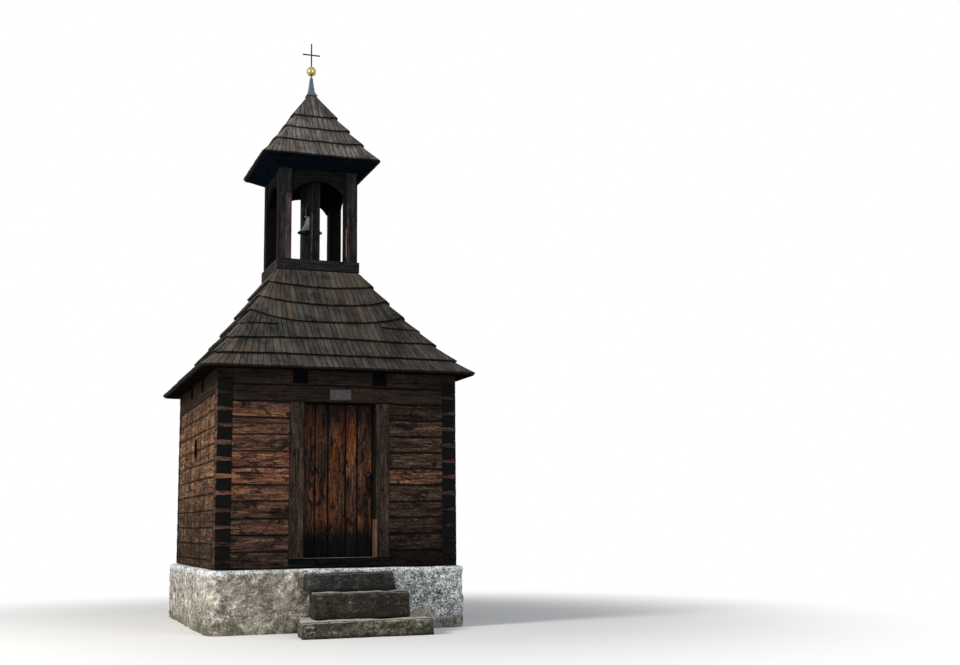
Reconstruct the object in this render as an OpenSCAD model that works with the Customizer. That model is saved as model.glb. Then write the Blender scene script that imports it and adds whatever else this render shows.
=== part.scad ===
// Small log belfry: a log-walled room on a rubble plinth, a bellcast
// shingled roof, and an open bell stage under a second, steeper roof.
// Origin: middle of the plinth's underside. The door faces -Y.

/* [Walls] */
// Width across the front wall, outer faces
body_w = 3000; // [2600:10:3400]
// Depth of the walls, outer faces
body_d = 3600; // [3000:10:4200]
// Height of one log
log_h = 200; // [180:5:220]
// Thickness of a log
log_t = 180; // [150:5:200]
// Logs below the lintel
courses = 10; // [9:1:11]
// Chamfer on the outer edges of each log
log_chamfer = 10; // [4:1:16]
// Height of a front log's dovetail at the middle of the corner
tail_h = 84; // [70:2:100]
// Slope of the dovetail faces, rise over run
tail_slope = 0.08; // [0.04:0.01:0.12]
// Open joint between two logs
chink = 0.4; // [0.3:0.1:0.8]

/* [Door] */
// Clear width between the door posts
door_w = 890; // [800:10:960]
// Width of a door post
frame_w = 185; // [150:5:210]
// Height of the threshold beam
threshold_h = 115; // [100:5:130]
// Thickness of the door's boards
door_board_t = 30; // [25:1:40]
// Depth of the groove between two door boards
door_groove = 10; // [6:1:14]
// Thickness of the ledges behind the boards
ledge_t = 22; // [18:1:30]
// Height of a ledge
ledge_h = 110; // [90:5:130]
// Width of the groove between two door boards
groove_w = 4; // [2:1:8]
// Distance of the outer ledges' middles from the leaf's ends
ledge_inset = 190; // [150:5:250]
// How far a ledge stops short of the leaf's edges
ledge_short = 40; // [30:2:60]
// Gap around the door leaf
leaf_gap = 8; // [8:1:12]
// Distance of the hinge pins outside the clear width
hinge_out = 18; // [16:1:24]
// Clear distance from the wall's inner face to the ledges
leaf_proud = 5; // [5:1:8]
// Height of a strap hinge's bar
strap_h = 40; // [30:2:50]
// Thickness of a strap hinge's bar
strap_t = 5; // [4:0.5:7]
// Radius of a hinge pin
hinge_pin_r = 7; // [5:0.5:8]
// Wall of a strap's eye round its pin
eye_wall = 5; // [4:0.5:6]
// Running clearance of hinge pins and bell pins, on the radius
pin_play = 0.06; // [0.03:0.01:0.1]
// Height of the handle above the wall's foot
handle_z = 1115; // [950:5:1200]
// Distance of the handle's spindle from the leaf's edge
handle_inset = 54; // [50:1:90]
// Radius of the knob
knob_r = 26; // [20:1:32]
// Distance of the knob's front from the leaf
knob_reach = 58; // [50:1:64]
// Radius of the rosette behind the knob
rosette_r = 42; // [36:1:44]
// Thickness of the rosette
rosette_t = 4; // [3:0.5:6]
// Width of the pintles' plates on the post
pintle_plate_w = 60; // [50:2:70]
// Height of the pintles' plates
pintle_plate_h = 70; // [60:5:90]
// Thickness of the pintles' plates
pintle_plate_t = 5; // [4:0.5:6]

/* [Vent] */
// Width of the vent in the left wall
vent_w = 260; // [160:10:320]
// Height of the vent
vent_h = 220; // [150:5:240]
// Vent's lower edge above the wall's foot
vent_z = 1415; // [1000:5:1500]

/* [Plinth and steps] */
// Height of the plinth, down to the lowest ground
plinth_h = 750; // [600:10:900]
// How far the plinth stands out from the walls
plinth_out = 115; // [80:5:160]
// Radius of the plinth's corners
plinth_r = 170; // [100:10:260]
// Height of the lowest step
step_bottom_h = 195; // [150:5:230]
// Height of the middle step
step_middle_h = 300; // [200:5:320]
// Height of the top step
step_top_h = 212; // [150:5:230]
// Going of each step
step_run = 300; // [260:10:340]
// Width of the lowest step
step_bottom_w = 1645; // [1400:5:1800]
// Width of the middle step
step_middle_w = 1255; // [1100:5:1400]
// Width of the top step
step_top_w = 1175; // [1000:5:1300]
// How far the lowest step sits right of the door's middle
step_bottom_x = 92.5; // [0:2.5:120]
// How far the middle step sits right of the door's middle
step_middle_x = 97.5; // [0:2.5:120]
// How far the top step sits right of the door's middle
step_top_x = 52.5; // [0:2.5:120]
// Worn edge of the step stones
step_edge = 22; // [10:1:30]
// How much a step stone's left end slants in toward the plinth, as a share of its length
step_skew = 0.22; // [0:0.02:0.3]
// Number of floor boards
floor_count = 14; // [8:1:20]
// Gap between two floor boards
floor_gap = 3; // [1:1:5]
// Thickness of the floor boards
floor_t = 40; // [30:2:50]

/* [Main roof] */
// Overhang of the eave from the walls
eave_out = 235; // [180:5:300]
// Rise from the eave to the bell stage
roof_rise = 1525; // [1300:5:1700]
// Hollow of the slope: 0 is straight
roof_hollow = 0.26; // [0.1:0.02:0.4]
// Thickness of boards and shingles, measured level
roof_t = 85; // [60:5:110]
// Width of the roof's level top around the bell stage
collar = 45; // [35:1:60]
// Radius of the wrapped hips at the eave
hip_r = 170; // [100:10:240]
// Radius of the wrapped hips at the bell stage
hip_head_r = 50; // [20:5:70]
// Width of the eave's hanging lip
lip_t = 45; // [40:1:55]
// How far the lip hangs below the soffit
lip_drop = 15; // [8:1:25]
// Height of the eave's upright edge
eave_edge = 20; // [14:1:30]
// How far that edge leans back to its foot
edge_lean = 4; // [1:1:8]
// Thickness of the soffit boards
soffit_t = 25; // [18:1:35]

/* [Bell stage] */
// Width of the bell stage across its posts
stage_w = 1080; // [960:10:1200]
// Side of a corner post
post_w = 170; // [140:5:190]
// Eased edge of a corner post
post_edge = 10; // [5:1:15]
// How far the tie beams sit outside the posts' middle
tie_shift = 45; // [20:5:50]
// Width of a tie beam
tie_w = 180; // [150:5:190]
// Height of a tie beam
tie_h = 165; // [140:5:175]
// Height of the sill frame
sill_h = 140; // [110:5:170]
// How far the sill frame stands out from the posts
sill_out = 22; // [15:1:30]
// Thickness of the deck
deck_t = 30; // [20:1:40]
// Height of the arches' springing above the sill frame
spring_h = 905; // [800:5:960]
// Rise of the arches
arch_rise = 200; // [160:5:230]
// Cheek left beside the arch at its springing
arch_cheek = 12; // [8:1:20]
// Thickness of an arch board
arch_t = 32; // [25:1:45]
// How far the arch boards sit back from the posts' faces
arch_inset = 14; // [5:1:30]
// Board left above the arch's crown
arch_top = 145; // [120:5:200]
// Height of the frame on top of the posts
head_h = 100; // [80:5:130]
// Width of the beams of that frame
head_w = 120; // [90:5:150]

/* [Bell] */
// Diameter of the bell at its lip
bell_d = 350; // [280:10:380]
// Height of the bell with its crown bar
bell_h = 240; // [200:5:280]
// Thickness of the bell at its lip
bell_t = 20; // [14:1:26]
// Height of the bell's lip above the sill frame
bell_z = 500; // [420:5:560]
// Share of the lip's radius that the bell's flank runs out to above
bell_top_share = 0.24; // [0.2:0.01:0.4]
// Share of the bell's height over which its flare dies away
bell_flare = 0.4; // [0.2:0.05:0.6]
// Half length of the crown bar on the bell's top
crown_half = 72; // [64:1:80]
// Width of the crown bar
crown_w = 50; // [42:1:60]
// Gap between a bell post and the sill frame's inner face
bell_post_gap = 11; // [6:1:20]
// Side of a bell post
bell_post_w = 118; // [100:2:120]
// Side of the headstock
stock_w = 110; // [90:2:120]
// Chamfer on the headstock's upper edges
stock_edge = 14; // [6:1:20]
// Gap between the headstock and the bell posts
stock_gap = 10; // [10:1:14]
// Radius of the bell's pins
bell_pin_r = 12; // [9:0.5:15]

/* [Upper roof] */
// Overhang of the upper eave from the bell stage
top_out = 270; // [220:5:320]
// Rise from the upper eave to the cap
top_rise = 1106; // [950:5:1250]
// Hollow of the upper slope: 0 is straight
top_hollow = 0.14; // [0.06:0.02:0.3]
// Half width of the roof under the cap
top_half = 82; // [70:2:95]
// Thickness of the upper roof, measured level
top_t = 60; // [45:5:70]
// Radius of the upper hips at the eave
top_hip_r = 90; // [50:5:130]
// Radius of the upper hips under the cap
top_hip_head_r = 22; // [15:1:30]
// Rise of the canted soffit, from the posts to the eave
cant_rise = 115; // [90:5:140]
// How far the upper lip's foot sits over the canted soffit's outer edge
lip_up = 5; // [0:1:10]

/* [Finial] */
// Height of the sheet cap
cap_h = 278; // [220:2:320]
// Half width of the cap at its foot
cap_half = 91; // [80:1:105]
// Radius of the ball
ball_r = 70; // [55:1:85]
// Bare spindle between the cap and the ball
neck_h = 23; // [10:1:30]
// Radius of the spindle
spindle_r = 10; // [8:1:12]
// Height of the cross above the ball
cross_h = 343; // [280:1:400]
// Length of the cross's arm
cross_w = 250; // [200:5:300]
// Width of the cross's flat bars
cross_bar = 18; // [14:1:26]
// Thickness of the cross's flat bars
cross_t = 8; // [6:1:12]

/* [Plaque] */
// Width of the bare plaque on the lintel
plaque_w = 270; // [200:10:320]
// Height of the plaque
plaque_h = 130; // [90:5:150]
// Thickness of the plaque
plaque_t = 8; // [5:1:12]

/* [Hidden] */
// Seat clearance between two pieces
fit = 0.3;
wall_top_k = courses + 1;
half_w = body_w / 2;
half_d = body_d / 2;
in_w = half_w - log_t;
in_d = half_d - log_t;
z_wall = plinth_h;
z_lintel = z_wall + courses * log_h;
z_plate = z_lintel + log_h;
z_top = z_plate + log_h;
z_soffit = z_top + soffit_t;
z_eave = z_top - lip_drop;
z_roof = z_eave + roof_rise;
z_sill = z_roof + sill_h;
z_spring = z_sill + spring_h;
z_head = z_spring + arch_rise + arch_top;
z_cant = z_head + cant_rise;
z_top_eave = z_cant + lip_up;
z_cap = z_top_eave + top_rise;
z_ball = z_cap + cap_h + neck_h + ball_r;
frame_x = door_w / 2 + frame_w;
stage = stage_w / 2;
post_in = stage - post_w;
eave_x = half_w + eave_out;
eave_y = half_d + eave_out;
roof_x = stage + fit + collar;
tie_at = stage - post_w / 2 + tie_shift;
z_tie = z_top - tie_h;
hinge_x = -door_w / 2 - hinge_out;
hinge_y = -in_d + leaf_proud + strap_t + hinge_pin_r;
eye_r = hinge_pin_r + eye_wall;
leaf_x = door_w / 2 - leaf_gap;
leaf_z0 = z_wall + threshold_h + leaf_gap;
leaf_z1 = z_lintel - leaf_gap;
ledge_z = [leaf_z0 + ledge_inset, (leaf_z0 + leaf_z1) / 2, leaf_z1 - ledge_inset];
bell_lip = z_sill + bell_z;
bell_top = bell_lip + bell_h;
stock_z = bell_top + fit;
pivot_z = stock_z + stock_w / 2;
bell_post_y = post_in - bell_post_gap - bell_post_w / 2;
stock_half = bell_post_y - bell_post_w / 2 - stock_gap;
// Shares of the door's width at which two of its boards meet
board_joints = [-0.32, -0.137, 0.112, 0.277];
hip_steps = 6;
// Least radius of a hip inside the shell
least_r = 4;
wood = [0.30, 0.19, 0.13];
old_wood = [0.24, 0.18, 0.15];
dark_wood = [0.13, 0.10, 0.09];
shingle = [0.22, 0.19, 0.18];
stone = [0.45, 0.44, 0.41];
iron = [0.16, 0.16, 0.17];

// One log lying along +X, outer face at y = 0, foot at z = 0
module log_bar(len, h = log_h) {
    g = chink / 2;
    c = log_chamfer + g;
    rotate([90, 0, 90])
        linear_extrude(len)
            polygon([[c, g], [log_t, g], [log_t, h - g], [c, h - g], [0, h - c], [0, c]]);
}

// Half space over (side = 1) or under (side = -1) a plane that rises by gx along X and gy along Y
module beyond(side, gx, gy) {
    r = 3 * log_t;
    rotate(a = atan(norm([gx, gy])), v = [gy, -gx, 0])
        translate([-r, -r, side > 0 ? 0 : -2 * r])
            cube(2 * r);
}

// Dovetail of front log k in the front right corner; it widens towards its end
module tail(k, grow = 0, over = 0) {
    zc = z_wall + (k + 0.5) * log_h;
    h = tail_h / 2 + grow;
    top = k == wall_top_k ? z_top - chink / 2 + over : zc + log_h;
    intersection() {
        translate([in_w - chink, -half_d - over, zc - log_h])
            cube([log_t + chink + over, log_t + over, top - zc + log_h]);
        translate([half_w - log_t / 2, -half_d + log_t / 2, zc - h])
            beyond(1, -tail_slope, -tail_slope);
        if (k < wall_top_k)
            translate([half_w - log_t / 2, -half_d + log_t / 2, zc + h])
                beyond(-1, tail_slope, tail_slope);
    }
}

// Copies its child into the left and right halves
module both_x() {
    children();
    mirror([1, 0, 0])
        children();
}

// Copies its child into the front and back halves
module both_y() {
    children();
    mirror([0, 1, 0])
        children();
}

// Full-width log of the front wall, course k, with both dovetails
module wide_log(k) {
    translate([-in_w + chink, -half_d, z_wall + k * log_h])
        log_bar(2 * in_w - 2 * chink);
    both_x()
        tail(k);
}

// Logs of the front wall's right part, beside the door
module short_logs() {
    for (k = [0:courses - 1]) {
        translate([frame_x + fit, -half_d, z_wall + k * log_h])
            log_bar(in_w - chink - frame_x - fit);
        tail(k);
    }
}

// Every dovetail of the front and back walls, grown by the open joint
module all_tails() {
    both_x()
        both_y()
            for (k = [0:wall_top_k])
                tail(k, chink, 1);
}

// Side wall logs of the right wall: a half log at the foot, then full courses
module side_logs() {
    translate([half_w, -half_d, z_wall])
        rotate([0, 0, 90])
            log_bar(body_d, log_h / 2);
    for (k = [0:courses - 1])
        translate([half_w, -half_d, z_wall + (k + 0.5) * log_h])
            rotate([0, 0, 90])
                log_bar(body_d);
}

module plinth() {
    color([0.72, 0.70, 0.66])
        linear_extrude(plinth_h)
            union() {
                square([2 * (half_w + plinth_out - plinth_r), 2 * (half_d + plinth_out)], center = true);
                square([2 * (half_w + plinth_out), 2 * (half_d + plinth_out - plinth_r)], center = true);
                for (x = [-1, 1], y = [-1, 1])
                    translate([x * (half_w + plinth_out - plinth_r), y * (half_d + plinth_out - plinth_r)])
                        circle(plinth_r, $fn = 48);
            }
}

// Rough step stone of width w with its middle at x, running back to the plinth
module step_stone(w, x, run, z, h) {
    y1 = -half_d - plinth_out - fit;
    y0 = y1 - run;
    x0 = x - w / 2;
    x1 = x + w / 2;
    bow = 0.04 * run;
    outline = [
        [x0 + step_skew * run, y1], [x0, y0 + 2 * bow], [x0 + 2 * step_edge, y0 + bow], [x, y0],
        [x1 - 2 * step_edge, y0 + 1.3 * bow], [x1, (y0 + y1) / 2], [x1 - step_edge, y1]
    ];
    crown = [
        for (p = outline)
            [x + (p[0] - x) * (1 - 2 * step_edge / w), y1 + (p[1] - y1) * (1 - step_edge / run)]
    ];
    color(stone)
        hull() {
            translate([0, 0, z])
                linear_extrude(h - step_edge)
                    polygon(outline);
            translate([0, 0, z])
                linear_extrude(h)
                    polygon(crown);
        }
}

module step_bottom() {
    step_stone(step_bottom_w, step_bottom_x, 3 * step_run, 0, step_bottom_h);
}

module step_middle() {
    step_stone(step_middle_w, step_middle_x, 2 * step_run, step_bottom_h + fit, step_middle_h);
}

module step_top() {
    step_stone(step_top_w, step_top_x, step_run, step_bottom_h + step_middle_h + 2 * fit, step_top_h);
}

module floor_boards() {
    pitch = (2 * in_w - 2 * fit) / floor_count;
    color(old_wood)
        for (i = [0:floor_count - 1])
            translate([-in_w + fit + i * pitch, -in_d + fit, z_wall])
                cube([pitch - floor_gap, 2 * in_d - 2 * fit, floor_t]);
}

module threshold() {
    color(old_wood)
        translate([-frame_x, -half_d, z_wall])
            cube([2 * frame_x, log_t, threshold_h - fit]);
}

// Post of the door frame on the right side
module door_post() {
    edge = 8;
    color(old_wood)
        translate([0, 0, z_wall + threshold_h])
            linear_extrude(z_lintel - z_wall - threshold_h - fit)
                polygon([
                    [door_w / 2, -in_d], [door_w / 2, -half_d + edge], [door_w / 2 + edge, -half_d],
                    [frame_x, -half_d], [frame_x, -in_d]
                ]);
}

module door_post_left() {
    mirror([1, 0, 0])
        door_post();
}

module door_post_right() {
    door_post();
}

module front_wall_left() {
    color(wood)
        mirror([1, 0, 0])
            short_logs();
}

module front_wall_right() {
    color(wood)
        short_logs();
}

module lintel_log() {
    color(wood)
        wide_log(courses);
}

module back_wall() {
    color(wood)
        mirror([0, 1, 0])
            for (k = [0:courses])
                wide_log(k);
}

module right_wall() {
    color(wood)
        difference() {
            side_logs();
            all_tails();
        }
}

module left_wall() {
    color(wood)
        difference() {
            mirror([1, 0, 0])
                side_logs();
            all_tails();
            translate([-half_w - 1, -vent_w / 2, z_wall + vent_z])
                cube([log_t + 2, vent_w, vent_h]);
        }
}

// The two tie beams from front to back, grown by g
module ties(g = 0) {
    both_x()
        translate([tie_at - tie_w / 2 - g, -half_d - g, z_tie - g])
            cube([tie_w + 2 * g, body_d + 2 * g, tie_h + 2 * g]);
}

// The two cross beams from left to right, grown by g
module crosses(g = 0) {
    both_y()
        translate([-half_w - g, -tie_at - tie_w / 2 - g, z_tie - g])
            cube([body_w + 2 * g, tie_w + 2 * g, tie_h + 2 * g]);
}

module end_plates() {
    color(wood)
        difference() {
            both_y()
                wide_log(wall_top_k);
            ties(fit);
        }
}

module side_plates() {
    color(wood)
        difference() {
            both_x()
                translate([half_w, -half_d, z_lintel + log_h / 2])
                    rotate([0, 0, 90])
                        log_bar(body_d, 1.5 * log_h);
            all_tails();
            crosses(fit);
        }
}

module tie_beams() {
    color(dark_wood)
        difference() {
            ties();
            intersection() {
                crosses(fit);
                translate([-half_w, -half_d, z_top - tie_h / 2])
                    cube([body_w, body_d, tie_h]);
            }
        }
}

module cross_beams() {
    color(dark_wood)
        difference() {
            crosses();
            intersection() {
                ties(fit);
                translate([-half_w, -half_d, z_tie - fit - 1])
                    cube([body_w, body_d, tie_h / 2 + 2 * fit + 1]);
            }
        }
}

// Points of a level ring: half widths hx and hy, corner radius r, height z
function ring(hx, hy, r, z, n = hip_steps) = [
    for (q = [0:3], i = [0:n])
        let (a = 90 * q + 90 * i / n, sx = q == 0 || q == 3 ? 1 : -1, sy = q < 2 ? 1 : -1)
            [sx * (hx - r) + r * cos(a), sy * (hy - r) + r * sin(a), z]
];

// Skin between rings; closed = true joins the last ring to the first
module skin(rings, closed) {
    m = len(rings[0]);
    n = len(rings);
    last = closed ? n - 1 : n - 2;
    sides = [
        for (i = [0:last], j = [0:m - 1])
            let (a = i * m, b = ((i + 1) % n) * m, k = (j + 1) % m)
                each [[a + j, b + j, b + k], [a + j, b + k, a + k]]
    ];
    caps = closed ? [] : [[for (j = [0:m - 1]) j], [for (j = [m - 1:-1:0]) (n - 1) * m + j]];
    polyhedron(points = [for (r = rings) each r], faces = concat(sides, caps), convexity = 6);
}

// Height of a hollow slope over its eave, as a share of its rise; s is 0 at the top and 1 at the eave
function slope(s, hollow) = (1 - s) * (1 - hollow) + hollow * (1 - s) * (1 - s);

// Where on the slope a share y of the rise is reached
function slope_at(y, hollow) =
    1 - (sqrt((1 - hollow) * (1 - hollow) + 4 * hollow * y) - (1 - hollow)) / (2 * hollow);

function mix(a, b, s) = a + (b - a) * s;

// Hollow hipped roof with a hanging lip. in_t0 and in_t1 are its level thicknesses at the top and the eave.
module hipped_roof(hx0, hy0, hx1, hy1, z1, rise, hollow, in_t0, in_t1, r0, r1, base_z) {
    levels = 14;
    z_low = z1 + eave_edge;
    run_up = rise - eave_edge;
    s_base = slope_at((base_z - z_low) / run_up, hollow);
    outer = [
        for (i = [0:levels])
            let (s = 1 - i / levels)
                ring(mix(hx0, hx1, s), mix(hy0, hy1, s), mix(r0, r1, s), z_low + run_up * slope(s, hollow))
    ];
    inner = [
        for (i = [0:levels])
            let (s = s_base * i / levels, t = mix(in_t0, in_t1, s))
                ring(mix(hx0, hx1, s) - t, mix(hy0, hy1, s) - t, max(mix(r0, r1, s) - t, least_r),
                    z_low + run_up * slope(s, hollow))
    ];
    foot = [
        ring(hx1 - lip_t, hy1 - lip_t, r1 - lip_t, base_z),
        ring(hx1 - lip_t, hy1 - lip_t, r1 - lip_t, z1),
        ring(hx1 - edge_lean, hy1 - edge_lean, r1 - edge_lean, z1)
    ];
    skin(concat(foot, outer, inner), true);
}

module main_soffit() {
    reach = 2 * eave_out + log_t;
    behind = 10;
    color(dark_wood)
        difference() {
            translate([0, 0, z_top])
                linear_extrude(soffit_t)
                    difference() {
                        polygon([
                            for (p = ring(eave_x - lip_t - fit, eave_y - lip_t - fit, hip_r - lip_t - fit, 0))
                                [p[0], p[1]]
                        ]);
                        square([2 * in_w, 2 * in_d], center = true);
                    }
            both_x()
                both_y()
                    translate([in_w, in_d, z_top - 1])
                        rotate([0, 0, 45])
                            translate([-behind, -chink / 2, 0])
                                cube([reach, chink, soffit_t + 2]);
        }
}

module main_roof() {
    color(shingle)
        hipped_roof(roof_x, roof_x, eave_x, eave_y, z_eave, roof_rise, roof_hollow,
            collar, roof_t, hip_head_r, hip_r, z_soffit + fit);
}

// The four corner posts' places, grown by g, between two heights
module post_places(z0, z1, g = 0) {
    both_x()
        both_y()
            translate([post_in - g, post_in - g, z0])
                cube([post_w + 2 * g, post_w + 2 * g, z1 - z0]);
}

module stage_sill() {
    side = 2 * (stage + sill_out);
    color(old_wood)
        difference() {
            translate([-side / 2, -side / 2, z_roof + fit])
                cube([side, side, sill_h - fit]);
            translate([-post_in, -post_in, z_roof])
                cube([2 * post_in, 2 * post_in, sill_h + 1]);
            post_places(z_roof, z_sill + 1, fit);
        }
}

module stage_deck() {
    color(dark_wood)
        difference() {
            translate([-stage, -stage, z_roof - deck_t])
                cube([stage_w, stage_w, deck_t]);
            post_places(z_roof - deck_t - 1, z_roof + 1, fit);
        }
}

// One corner post from the tie beams to the head frame, with eased edges
module corner_post(sx, sy) {
    w = post_w;
    e = post_w - post_edge;
    color(old_wood)
        mirror([sx < 0 ? 1 : 0, 0, 0])
            mirror([0, sy < 0 ? 1 : 0, 0])
                translate([post_in, post_in, z_top + fit])
                    linear_extrude(z_head - z_top - 2 * fit)
                        polygon([[0, 0], [w, 0], [w, e], [e, w], [0, w]]);
}

module post_front_left() {
    corner_post(-1, -1);
}

module post_front_right() {
    corner_post(1, -1);
}

module post_back_left() {
    corner_post(-1, 1);
}

module post_back_right() {
    corner_post(1, 1);
}

// Arch board of the front face
module arch_board() {
    hw = post_in - fit;
    open = hw - arch_cheek;
    r = (open * open + arch_rise * arch_rise) / (2 * arch_rise);
    color(dark_wood)
        difference() {
            translate([-hw, -stage + arch_inset, z_spring])
                cube([2 * hw, arch_t, z_head - z_spring - fit]);
            translate([0, -stage + arch_inset - 1, z_spring + arch_rise - r])
                rotate([-90, 0, 0])
                    cylinder(r = r, h = arch_t + 2, $fn = 96);
        }
}

module arch_front() {
    arch_board();
}

module arch_back() {
    rotate([0, 0, 180])
        arch_board();
}

module arch_left() {
    rotate([0, 0, -90])
        arch_board();
}

module arch_right() {
    rotate([0, 0, 90])
        arch_board();
}

module bell_posts() {
    hw = bell_post_w / 2;
    color(dark_wood)
        difference() {
            both_y()
                translate([-hw, bell_post_y - hw, z_roof + fit])
                    cube([bell_post_w, bell_post_w, z_head - z_roof - 2 * fit]);
            translate([0, bell_post_y + bell_post_w, pivot_z])
                rotate([90, 0, 0])
                    cylinder(r = bell_pin_r + pin_play, h = 2 * (bell_post_y + bell_post_w), $fn = 48);
        }
}

module headstock() {
    w = stock_w / 2;
    e = w - stock_edge;
    color(dark_wood)
        translate([0, stock_half, pivot_z])
            rotate([90, 0, 0])
                linear_extrude(2 * stock_half)
                    polygon([[-w, -w], [w, -w], [w, e], [e, w], [-e, w], [-w, e]]);
}

// Strap over the headstock that holds the bell, and a pin plate at each end of it
module bell_irons() {
    w = stock_w / 2 + fit;
    bar = 7;
    bar_w = 40;
    plate = 4;
    plate_w = 60;
    pin_end = bell_post_y + 0.3 * bell_post_w;
    pin_y = stock_half + fit + plate / 2;
    color(iron) {
        difference() {
            translate([-w - bar, -bar_w / 2, bell_top + fit])
                cube([2 * (w + bar), bar_w, 2 * w + bar]);
            translate([-w, -bar_w / 2 - 1, bell_top])
                cube([2 * w, bar_w + 2, 2 * w + fit]);
        }
        both_y() {
            translate([-plate_w / 2, stock_half + fit, pivot_z - plate_w / 2])
                cube([plate_w, plate, plate_w]);
            translate([0, pin_y, pivot_z])
                rotate([-90, 0, 0])
                    cylinder(r = bell_pin_r, h = pin_end - pin_y, $fn = 48);
        }
    }
}

// Outer radius of the bell at height share t over its lip
function bell_r(t) = bell_d / 2 * mix(bell_top_share, 1, exp(-t / bell_flare));

module bell() {
    n = 14;
    waist = 0.86;
    shoulder = bell_r(waist);
    neck = shoulder * 0.6;
    bar_h = 16;
    sunk = 8;
    body_h = bell_h - bar_h;
    outer = [for (i = [0:n]) let (t = waist * i / n) [bell_r(t), body_h * t]];
    round_top = [
        for (a = [15:15:90])
            [mix(neck, shoulder, cos(a)), body_h * mix(waist, 1, sin(a))]
    ];
    inner = [
        for (i = [n:-1:0])
            let (t = waist * i / n, wall = bell_t * mix(1, 0.62, min(4 * t, 1)))
                [bell_r(t) - wall, body_h * t]
    ];
    roof_in = [[0, body_h * 0.93], [shoulder * 0.5, body_h * 0.93]];
    color([0.28, 0.30, 0.26])
        translate([0, 0, bell_lip]) {
            rotate_extrude($fn = 64)
                polygon(concat(outer, round_top, [[0, body_h]], roof_in, inner));
            translate([-crown_half, -crown_w / 2, body_h - sunk])
                cube([2 * crown_half, crown_w, bar_h + sunk]);
        }
}

module head_frame() {
    mid = bell_post_w / 2;
    color(dark_wood)
        difference() {
            translate([-stage, -stage, z_head])
                cube([stage_w, stage_w, head_h]);
            both_x()
                translate([mid, -stage + head_w, z_head - 1])
                    cube([stage - head_w - mid, stage_w - 2 * head_w, head_h + 2]);
        }
}

module upper_soffit() {
    lo = stage + fit;
    hi = stage + top_out - lip_t - fit;
    r = top_hip_r - lip_t - fit;
    color(dark_wood)
        skin([
            ring(lo, lo, 1, z_head + soffit_t),
            ring(lo, lo, 1, z_head),
            ring(hi, hi, r, z_cant),
            ring(hi, hi, r, z_cant + soffit_t)
        ], true);
}

module upper_roof() {
    e = stage + top_out;
    color([0.24, 0.19, 0.20])
        hipped_roof(top_half, top_half, e, e, z_top_eave, top_rise, top_hollow,
            top_t, top_t, top_hip_head_r, top_hip_r, z_cant + soffit_t + fit);
}

module finial_cap() {
    collar_t = 8;
    edge_r = 6;
    tip = spindle_r + collar_t;
    foot = z_cap + fit;
    color([0.36, 0.42, 0.48]) {
        skin([
            for (p = [[1, 0], [0.97, 0.05], [0.62, 0.2], [0.49, 0.37], [0.32, 0.63]])
                ring(cap_half * p[0], cap_half * p[0], edge_r, foot + cap_h * p[1], 2),
            ring(tip, tip, edge_r, foot + cap_h, 2)
        ], false);
        translate([0, 0, foot + cap_h - 2])
            cylinder(r = spindle_r, h = neck_h + ball_r / 2, $fn = 32);
    }
}

module finial_ball() {
    color([0.80, 0.62, 0.22])
        difference() {
            translate([0, 0, z_ball])
                sphere(ball_r, $fn = 48);
            translate([0, 0, z_ball - ball_r - 1])
                cylinder(r = spindle_r + fit, h = 2 * ball_r + 2, $fn = 32);
        }
}

module cross() {
    z0 = z_ball + ball_r;
    arm_z = z0 + cross_h * 0.51;
    socket = 14;
    color(iron) {
        translate([0, 0, z_ball])
            cylinder(r = spindle_r, h = ball_r + socket, $fn = 32);
        translate([-cross_bar / 2, -cross_t / 2, z0 + socket / 2])
            cube([cross_bar, cross_t, cross_h - socket / 2]);
        translate([-cross_w / 2, -cross_t / 2, arm_z - cross_bar / 2])
            cube([cross_w, cross_t, cross_bar]);
    }
}

module door_leaf() {
    back = -in_d + leaf_proud;
    face = back - ledge_t - door_board_t;
    color([0.38, 0.20, 0.12]) {
        difference() {
            translate([-leaf_x, face, leaf_z0])
                cube([2 * leaf_x, door_board_t, leaf_z1 - leaf_z0]);
            for (j = board_joints)
                translate([j * door_w - groove_w / 2, face - 1, leaf_z0 - 1])
                    cube([groove_w, door_groove + 1, leaf_z1 - leaf_z0 + 2]);
        }
        for (z = ledge_z)
            translate([-leaf_x + ledge_short, back - ledge_t - 1, z - ledge_h / 2])
                cube([2 * (leaf_x - ledge_short), ledge_t + 1, ledge_h]);
    }
}

// Strap hinges behind the top and bottom ledges, each with a bored eye
module door_straps() {
    y0 = -in_d + leaf_proud + fit;
    tip = door_w * 0.2;
    color(iron)
        for (z = [ledge_z[0], ledge_z[2]])
            difference() {
                union() {
                    translate([hinge_x, y0, z - strap_h / 2])
                        cube([tip - hinge_x, strap_t, strap_h]);
                    translate([hinge_x, hinge_y, z - strap_h / 2])
                        cylinder(r = eye_r, h = strap_h, $fn = 48);
                }
                translate([hinge_x, hinge_y, z - strap_h / 2 - 1])
                    cylinder(r = hinge_pin_r + pin_play, h = strap_h + 2, $fn = 48);
            }
}

// Pintles on the left post's inner face that carry the straps' eyes
module door_pintles() {
    plate = [pintle_plate_w, pintle_plate_t, pintle_plate_h];
    plate_side = 0.75 * pintle_plate_w;
    arm_h = 24;
    under = 2;
    over = 8;
    color(iron)
        for (z = [ledge_z[0], ledge_z[2]])
            translate([hinge_x, 0, z - strap_h / 2 - under]) {
                translate([-plate_side, -in_d + fit, -plate[2]])
                    cube(plate);
                translate([-eye_r, -in_d + fit + 1, -arm_h])
                    cube([2 * eye_r, hinge_y + in_d, arm_h]);
                translate([0, hinge_y, -arm_h])
                    cylinder(r = hinge_pin_r, h = arm_h + strap_h + over, $fn = 48);
            }
}

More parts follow.
